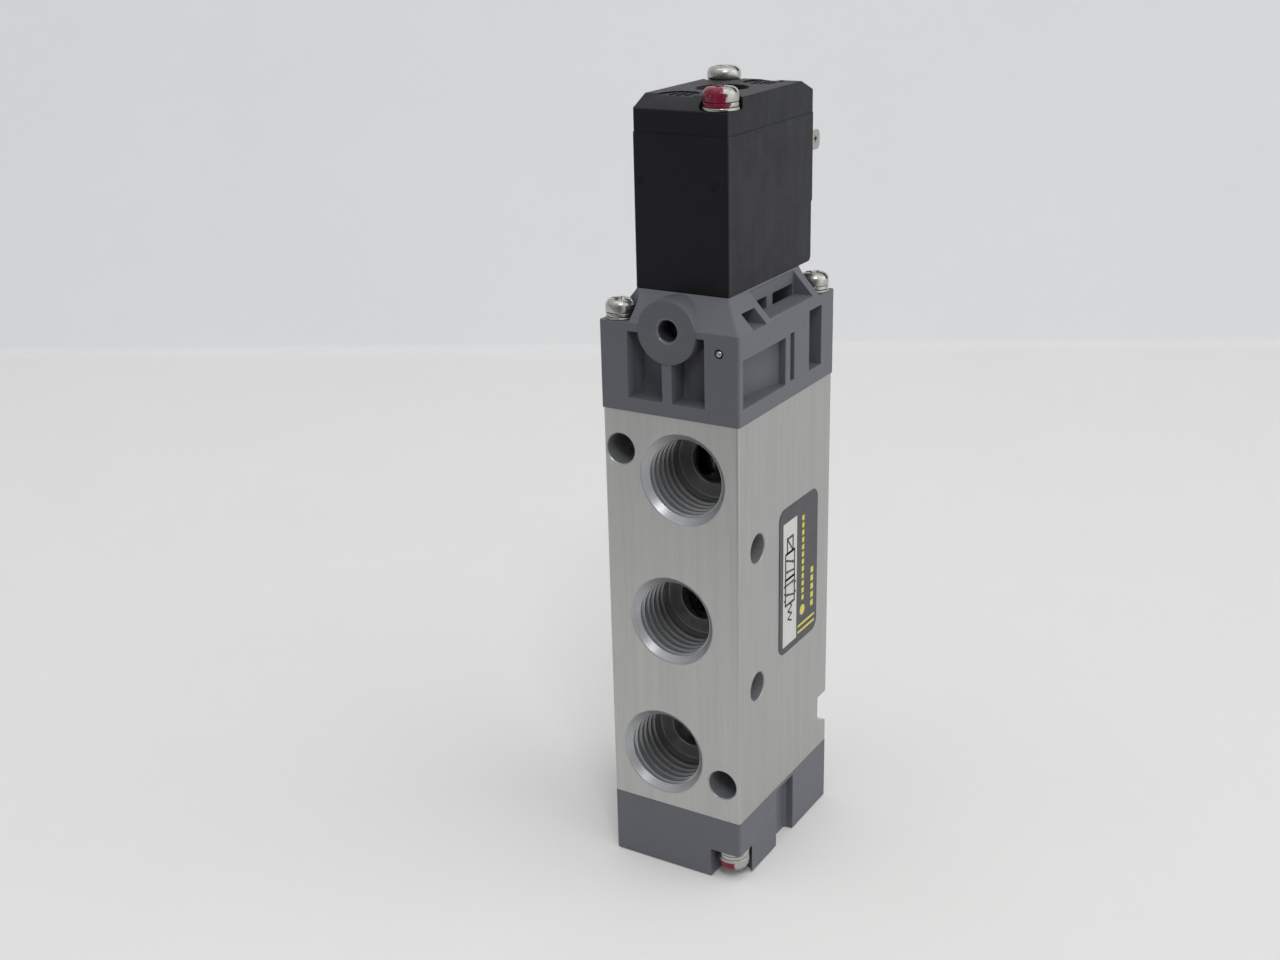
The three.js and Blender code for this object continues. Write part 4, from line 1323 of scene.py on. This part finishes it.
def flat_washer(node, mat):
    (x0, y0, z0), (x1, y1, z1) = B[node]
    r = (x1 - x0) / 2
    x, y = centre(node)
    pts = fillet(
        [(1.4, z0, 0.05), (r, z0, 0.08), (r, z1, 0.12), (1.4, z1, 0.05)], n=3
    )
    finish_piece(
        lathe(pts, 64, at(x, y), closed=True, name="washer"), node, mat, sharp=45
    )


def split_washer(node, turn, mat):
    """A square-wire lock washer: one turn with a gap, its ends a little apart in height."""
    (x0, y0, z0), (x1, y1, z1) = B[node]
    r = max(x1 - x0, y1 - y0) / 2
    x, y = centre(node)
    ri = 1.4
    rise = 0.06
    gap = math.radians(9)
    steps = 72
    verts, faces = [], []
    e = 0.06
    h = z1 - z0 - rise
    sec = fillet([(ri, 0, e), (r, 0, e), (r, h, e), (ri, h, e)], n=2)
    k = len(sec)
    for s in range(steps + 1):
        f = s / steps
        a = math.radians(turn) + gap / 2 + (TAU - gap) * f
        for rr, zz_ in sec:
            verts.append((x + rr * math.cos(a), y + rr * math.sin(a), z0 + zz_ + rise * f))
    for s in range(steps):
        for i in range(k):
            j = (i + 1) % k
            faces.append((s * k + i, s * k + j, (s + 1) * k + j, (s + 1) * k + i))
    faces.append(tuple(range(k)))
    faces.append(tuple(range(steps * k, (steps + 1) * k)))
    finish_piece(make("lock", verts, faces), node, mat, sharp=45)


def cc(node):
    (x0, y0, z0), (x1, y1, z1) = B[node]
    return ((x0 + x1) / 2, (y0 + y1) / 2, z1)


c0 = cc("coil_screw_front")
M_PAINT = painted_nickel("nickel_with_paint", c0, LEFT, -0.35)
M_PAINT2 = painted_nickel("washer_with_paint", c0, LEFT, -1.0)
c1 = cc("cap_screw_front")


def low(k):
    z = k.xyz()[2]
    return k.math("MULTIPLY", k.ramp(z, 1.85, 2.1), k.ramp(z, 3.4, 3.15))


# the cap screw's paint dab, and painted shade on its head below 2.4 mm
M_PAINT3_AND_SHADE = painted_nickel(
    "cap_screw_with_paint_and_shade", (c1[0], c1[1], 1.5), (-0.857, -0.516, 0.0), -0.1, low, 0.45, (1.5, 2.4)
)

for tag in ("front", "rear"):
    painted = tag == "front"
    pan_screw("cover_screw_" + tag, 1, M_NICKEL, 1.8, 2.08)
    pan_screw("cap_screw_" + tag, -1, M_PAINT3_AND_SHADE if painted else M_NICKEL, 2.7, 2.33, 0.28)
    pan_screw("coil_screw_" + tag, 1, M_PAINT if painted else M_NICKEL, 1.93, 2.45)
    flat_washer("cover_flat_washer_" + tag, M_NICKEL)
    flat_washer("cap_flat_washer_" + tag, M_NICKEL)
    flat_washer("coil_flat_washer_" + tag, M_NICKEL)
    split_washer("cover_lock_washer_" + tag, 40, M_NICKEL)
    split_washer("cap_lock_washer_" + tag, 200, M_NICKEL)
    split_washer("coil_lock_washer_" + tag, 70, M_PAINT2 if painted else M_NICKEL)


# ------------------------------------------------------------------ seals, spacers and guides on the spool
def seal_ring(node, slot="rubber", mat=None, e=0.2, n=72, yc=0.0):
    (x0, y0, z0), (x1, y1, z1) = B[node]
    r1 = (x1 - x0) / 2
    return r1, z0, z1


for node, r0, r1 in (("cover_seal", 8.4, 9.4), ("cap_seal", 6.1, 7.1)):
    (_, _, z0), (_, _, z1) = B[node]
    zc, rc, rad = (z0 + z1) / 2, (r0 + r1) / 2, (z1 - z0) / 2
    pts = [
        (rc + (r1 - r0) / 2 * math.cos(TAU * i / 16), zc + rad * math.sin(TAU * i / 16))
        for i in range(16)
    ]
    finish_piece(lathe(pts, 72, closed=True, name="o"), node, M_RUBBER, sharp=60)

for i in range(1, 7):
    node = "spool_seal_%d" % i
    (_, _, z0), (_, _, z1) = B[node]
    zc = (z0 + z1) / 2
    pts = fillet(
        [
            (3.55, z0, 0.1),
            (5.3, z0, 0.3),
            (5.3, z1, 0.3),
            (3.55, z1, 0.1),
            (3.3, zc + 0.45, 0.12),
            (3.1, zc, 0.25),
            (3.3, zc - 0.45, 0.12),
        ],
        n=4,
    )
    finish_piece(lathe(pts, 64, closed=True, name="s"), node, M_RUBBER, sharp=50)
for i in range(1, 6):
    node = "spool_spacer_%d" % i
    (_, _, z0), (_, _, z1) = B[node]
    zc = (z0 + z1) / 2
    ob = lathe(
        fillet([(4.0, z0, 0.12), (5.3, z0, 0.12), (5.3, z1, 0.12), (4.0, z1, 0.12)], n=2),
        64,
        closed=True,
        name="sp",
    )
    win = rect(-1.7, 1.7, zc - 2.6, zc + 2.6, 0.5, 4)
    cut(ob, prism_y(win, -8, 8), prism_x(win, -8, 8))
    soften(ob, 0)
    finish_piece(ob, node, M_DARK)
for node in ("spool_guide_lower", "spool_guide_upper"):
    (_, _, z0), (_, _, z1) = B[node]
    pts = fillet([(3.1, z0, 0.15), (5.3, z0, 0.15), (5.3, z1, 0.15), (3.1, z1, 0.15)], n=3)
    finish_piece(lathe(pts, 64, closed=True, name="g"), node, M_BRASS, sharp=40)

# ------------------------------------------------------------------ spool and pilot piston
spool_pts = fillet(
    [
        (0, 11.0),
        (2.6, 11.0, 0.1),
        (3.0, 11.4, 0.15),
        (3.0, 26.9, 0.2),
        (1.9, 27.7, 0.4),
        (1.9, 37.9, 0.4),
        (3.0, 38.7, 0.2),
        (3.0, 49.3, 0.2),
        (1.9, 50.1, 0.4),
        (1.9, 60.4, 0.4),
        (3.0, 61.2, 0.2),
        (3.0, 77.3, 0.15),
        (2.6, 77.7, 0.1),
        (0, 77.7),
    ],
    n=4,
    closed=False,
)
finish_piece(lathe(spool_pts, 64, name="spool_"), "spool", M_STEEL, sharp=45)
pist = fillet(
    [
        (0, 77.8),
        (7.75, 77.8, 0.15),
        (7.75, 78.8, 0.08),
        (6.3, 78.8, 0.1),
        (6.3, 80.6, 0.1),
        (7.75, 80.6, 0.08),
        (7.75, 81.6, 0.3),
        (3.2, 81.6, 0.1),
        (2.8, 81.1, 0.1),
        (0, 81.1),
    ],
    n=3,
    closed=False,
)
finish_piece(lathe(pist, 72, name="p"), "pilot_piston", M_ACETAL, sharp=40)
ps = fillet(
    [(6.4, 79.0, 0.15), (7.8, 79.2, 0.3), (7.8, 80.2, 0.3), (6.4, 80.4, 0.15)], n=4
)
finish_piece(
    lathe(ps, 72, closed=True, name="ps"), "pilot_piston_seal", M_RUBBER, sharp=50
)

# ------------------------------------------------------------------ springs
(_, _, z0), (_, _, z1) = B["return_spring"]
ob = coil_spring("rs", 2.55, 0.3, 2.55, 10.86, 5.5)
finish_piece(ob, "return_spring", M_STEEL, sharp=60, weighted=False)
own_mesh(ob)
ob = coil_spring("os", 1.1, 0.16, 0, 4.4, 6.0, along((OVX, -3.05, OVZ), (0, -1, 0)))
finish_piece(ob, "override_spring", M_STEEL, sharp=60, weighted=False)
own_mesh(ob)
ob = coil_spring("ps", 1.05, 0.18, 97.05, 102.95, 6.5, at(0, TY))
finish_piece(ob, "plunger_spring", M_STEEL, sharp=60, weighted=False)
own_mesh(ob)

# ------------------------------------------------------------------ manual override
y0 = B["override_pin"][0][1]
mo = along((OVX, y0, OVZ), (0, 1, 0))
pin = lathe(
    fillet(
        [
            (0, 0),
            (1.2, 0, 0.05),
            (1.4, 0.2, 0.05),
            (1.4, 1.6, 0.05),
            (0.95, 1.6, 0.06),
            (0.95, 2.8, 0.06),
            (1.4, 2.8, 0.05),
            (1.4, 4.7, 0.05),
            (0.9, 4.7, 0.1),
            (0.5, 5.4, 0.1),
            (0, 5.4),
        ],
        n=3,
        closed=False,
    ),
    48,
    mo,
)
cut(pin, cuboid(OVX - 2, OVX + 2, y0 - 1, y0 + 0.4, OVZ - 0.25, OVZ + 0.25))
soften(pin, 0)
finish_piece(pin, "override_pin", M_DARK, sharp=38)
pts = [
    (1.21 + 0.2 * math.cos(TAU * i / 14), 0.2 * math.sin(TAU * i / 14)) for i in range(14)
]
finish_piece(
    lathe(pts, 48, along((OVX, -10.1, OVZ), (0, 1, 0)), closed=True, name="oo"),
    "override_oring",
    M_RUBBER,
    sharp=60,
)

# ------------------------------------------------------------------ contact blades
for tag, s in (("right", 1), ("left", -1)):
    node = "contact_blade_" + tag
    (x0, y0, z0), (x1, y1, z1) = B[node]
    pts = fillet(
        [
            (y0, z0),
            (y1 - 0.6, z0, 0.1),
            (y1, z0 + 0.55, 0.2),
            (y1, z1 - 0.55, 0.2),
            (y1 - 0.6, z1, 0.1),
            (y0, z1),
        ],
        n=3,
    )
    ob = prism_x(pts, x0, x1, "blade")
    xm = (x0 + x1) / 2
    cut(ob, cyl(0.5, -1, 1, along((xm, 21.1, 107.3), (1, 0, 0)), 32))
    soften(ob, 0.06, angle=40, segs=2, only=lambda c: c.y > 16)
    finish_piece(ob, node, M_NICKEL, sharp=40)
(x0, y0, z0), (x1, y1, z1) = B["earth_blade"]
pts = fillet(
    [
        (x0, y0),
        (x1, y0),
        (x1, y1 - 0.6, 0.1),
        (x1 - 0.55, y1, 0.2),
        (x0 + 0.55, y1, 0.2),
        (x0, y1 - 0.6, 0.1),
    ],
    n=3,
)
ob = prism_z(pts, z0, z1, "blade")
cut(ob, cyl(0.5, z0 - 1, z1 + 1, at(0, 21.1), 32))
soften(ob, 0.06, angle=40, segs=2, only=lambda c: c.y > 16)
finish_piece(ob, "earth_blade", M_NICKEL, sharp=40)

# ------------------------------------------------------------------ solenoid
yoke = join(
    cuboid(-5.5, 5.5, -4.4, 8.05, 92.2, 93.4),
    cuboid(-5.5, 5.5, -4.4, 8.05, 110.4, 111.6),
    cuboid(-5.5, 5.5, 6.9, 8.05, 92.3, 111.5),
)
cut(yoke, cyl(3.2, 91, 113, at(0, TY)))
soften(yoke, 0.1, angle=40)
finish_piece(yoke, "magnet_yoke", M_STEEL2)
pts = fillet(
    [
        (3.2, 93.5),
        (5.6, 93.5, 0.1),
        (5.6, 94.3, 0.1),
        (3.7, 94.3),
        (3.7, 109.5),
        (5.6, 109.5, 0.1),
        (5.6, 110.3, 0.1),
        (3.2, 110.3),
    ],
    n=3,
)
finish_piece(lathe(pts, 64, at(0, TY), closed=True), "bobbin", M_ACETAL, sharp=40)
# wound wire: one rib per turn of the outer layer
zb, zt2 = B["coil_winding"][0][2], B["coil_winding"][1][2]
turns = 44
p = (zt2 - zb) / turns
pts = [(3.8, zb)]
for i in range(turns):
    pts += [(5.22, zb + p * i + 0.001), (5.3, zb + p * (i + 0.5))]
pts += [(5.22, zt2), (3.8, zt2)]
pts[1] = (5.22, zb)
finish_piece(
    lathe(pts, 64, at(0, TY), closed=True), "coil_winding", M_COPPER, sharp=70
)
pts = fillet([(2.6, 90.6, 0.1), (3.1, 90.6, 0.1), (3.1, 111.2, 0.1), (2.6, 111.2, 0.1)], n=2)
finish_piece(lathe(pts, 64, at(0, TY), closed=True), "core_tube", M_STEEL, sharp=40)
pts = fillet(
    [(0, 103.0), (2.5, 103.0, 0.1), (2.5, 111.3), (3.1, 111.3, 0.1), (3.1, 112.0, 0.15), (0, 112.0)],
    n=3,
    closed=False,
)
finish_piece(lathe(pts, 64, at(0, TY)), "fixed_core", M_STEEL2, sharp=40)
pts = fillet(
    [(0.4, 88.2), (1.5, 88.2, 0.1), (1.5, 90.4, 0.1), (0.9, 91.3, 0.08), (0.4, 91.3)], n=3
)
finish_piece(lathe(pts, 48, at(0, TY), closed=True), "pilot_nozzle", M_BRASS, sharp=40)
pts = fillet([(2.4, 89.75, 0.2), (4.2, 89.75, 0.2), (4.2, 90.45, 0.2), (2.4, 90.45, 0.2)], n=3)
finish_piece(lathe(pts, 56, at(0, TY), closed=True), "pilot_gasket", M_RUBBER, sharp=50)
pts = fillet(
    [
        (0, 93.0),
        (1.7, 93.0),
        (1.7, 91.9, 0.08),
        (2.45, 91.9, 0.1),
        (2.45, 102.2, 0.1),
        (1.4, 102.2, 0.1),
        (1.4, 97.0),
        (0, 97.0),
    ],
    n=3,
    closed=False,
)
finish_piece(lathe(pts, 64, at(0, TY)), "plunger", M_STEEL2, sharp=40)
pts = fillet([(0, 91.35), (1.6, 91.35, 0.1), (1.6, 92.95, 0.1), (0, 92.95)], n=3, closed=False)
finish_piece(lathe(pts, 48, at(0, TY)), "plunger_seat_disc", M_RUBBER, sharp=50)


# ------------------------------------------------------------------ camera, floor and light
cam_data = bpy.data.cameras.new("camera")
cam = bpy.data.objects.new("camera", cam_data)
COL.objects.link(cam)
cam_data.sensor_fit = "HORIZONTAL"
cam_data.sensor_width = 36.0
cam_data.lens = 36.0 * 1635.2 / 1280.0
cam_data.clip_start, cam_data.clip_end = 0.01, 10.0
right = Vector((0.85647, 0.51563, -0.02415)).normalized()
fwd = Vector((-0.49038, 0.79814, -0.35000)).normalized()
up = right.cross(fwd).normalized()
cam.matrix_world = Matrix(
    (
        (right.x, up.x, -fwd.x, 0.110313),
        (right.y, up.y, -fwd.y, -0.202895),
        (right.z, up.z, -fwd.z, 0.145672),
        (0, 0, 0, 1),
    )
)
scene.camera = cam


def stage_material():
    """Matt white card: warm on the floor, cooler and paler where it turns up."""
    k = Mat("backdrop_card")
    n = k.noise(0.02, 4, 0.6)
    lift = k.ramp(k.xyz()[2], 0.05, 2.6, smooth=True)
    c = k.mix(lift, (0.80, 0.795, 0.785), (0.86, 0.868, 0.88))
    c = k.mix(k.ramp(n, 0.3, 0.7, 0.0, 0.015), c, (0.0, 0.0, 0.0))
    k.bump(k.noise(0.6, 4, 0.6), 0.02, 0.4)
    return k.done(c, 0.75, 0.0, 0.2)


# one sweep of paper: floor, a gentle fold, and the wall behind
path = [(-0.135, -0.004), (-0.13, 0.0), (0.2705, 0.0), (0.2732, 0.00015), (0.2752, 0.0006), (0.2765, 0.0014), (0.2771, 0.0028), (0.2776, 1.1)]
d = Vector((fwd.x, fwd.y, 0)).normalized()
sd = Vector((d.y, -d.x, 0))
sweep_d = (d + sd * 0.0626).normalized()
sweep_s = Vector((sweep_d.y, -sweep_d.x, 0))
verts, faces = [], []
for s, h in path:
    for w_ in (-1.1, 1.1):
        v = sweep_d * s + sweep_s * w_
        verts.append((v.x, v.y, h))
for i in range(len(path) - 1):
    faces.append((2 * i, 2 * i + 1, 2 * i + 3, 2 * i + 2))
me = bpy.data.meshes.new("sweep")
me.from_pydata(verts, [], faces)
me.polygons.foreach_set("use_smooth", [True] * len(me.polygons))
sweep = bpy.data.objects.new("sweep", me)
COL.objects.link(sweep)
me.materials.append(stage_material())


def area(name, loc, aim, size, power, color=(1, 1, 1)):
    ld = bpy.data.lights.new(name, "AREA")
    ld.shape = "RECTANGLE"
    ld.size, ld.size_y = size
    ld.energy = power
    ld.color = color
    ob = bpy.data.objects.new(name, ld)
    COL.objects.link(ob)
    ob.location = loc
    ob.rotation_mode = "QUATERNION"
    ob.rotation_quaternion = (Vector(aim) - Vector(loc)).to_track_quat("-Z", "Y")
    return ob


area("lamp", (0.32, -0.416, 0.664), (0, 0, 0.06), (0.16, 0.16), 1.10, (1.0, 1.0, 1.0))
area("top", (-0.05, 0.0, 0.9), (0, 0, 0.05), (0.7, 0.7), 1.35, (1.0, 1.0, 1.0))
area("window", (0.55, 0.30, 0.35), (0, 0, 0.06), (0.5, 0.5), 0.16, (1.0, 1.0, 1.0))
world = bpy.data.worlds.new("studio")
scene.world = world
world.use_nodes = True
wt = world.node_tree
wt.nodes.clear()
outw = wt.nodes.new("ShaderNodeOutputWorld")
bg = wt.nodes.new("ShaderNodeBackground")
wt.links.new(bg.outputs[0], outw.inputs[0])
bg.inputs[0].default_value = (0.985, 0.99, 1.0, 1)
tcw = wt.nodes.new("ShaderNodeTexCoord")
# the room: brightness of the surroundings by direction
ROOM = {
    "base": (None, 0.055),
    "up": ((0, 0, 1), 0.53),
    "right": ((sd.x, sd.y, 0), 1.14),
    "left": ((-sd.x, -sd.y, 0), 0.26),
    "camera": ((-d.x, -d.y, 0), 0.07),
}
total = None
for name, (axis, strength) in ROOM.items():
    v = wt.nodes.new("ShaderNodeValue")
    v.name = "room_" + name
    v.outputs[0].default_value = strength
    term = v.outputs[0]
    if axis is not None:
        dp = wt.nodes.new("ShaderNodeVectorMath")
        dp.operation = "DOT_PRODUCT"
        wt.links.new(tcw.outputs["Generated"], dp.inputs[0])
        dp.inputs[1].default_value = axis
        mr = wt.nodes.new("ShaderNodeMapRange")
        mr.interpolation_type = "SMOOTHSTEP"
        mr.inputs["From Min"].default_value = 0.0
        mr.inputs["From Max"].default_value = 1.0
        wt.links.new(dp.outputs["Value"], mr.inputs["Value"])
        mu = wt.nodes.new("ShaderNodeMath")
        mu.operation = "MULTIPLY"
        wt.links.new(mr.outputs["Result"], mu.inputs[0])
        wt.links.new(term, mu.inputs[1])
        term = mu.outputs[0]
    if total is None:
        total = term
    else:
        ad = wt.nodes.new("ShaderNodeMath")
        ad.operation = "ADD"
        wt.links.new(total, ad.inputs[0])
        wt.links.new(term, ad.inputs[1])
        total = ad.outputs[0]
# past the edge of the paper the room is plain pale grey
seen = wt.nodes.new("ShaderNodeBackground")
seen.inputs[0].default_value = (0.70, 0.705, 0.72, 1)
seen.inputs[1].default_value = 1.0
path_ = wt.nodes.new("ShaderNodeLightPath")
pick = wt.nodes.new("ShaderNodeMixShader")
wt.links.new(path_.outputs["Is Camera Ray"], pick.inputs[0])
wt.links.new(bg.outputs[0], pick.inputs[1])
wt.links.new(seen.outputs[0], pick.inputs[2])
wt.links.new(pick.outputs[0], outw.inputs[0])
wt.links.new(total, bg.inputs[1])
scene.view_settings.view_transform = "Standard"
scene.view_settings.look = "None"
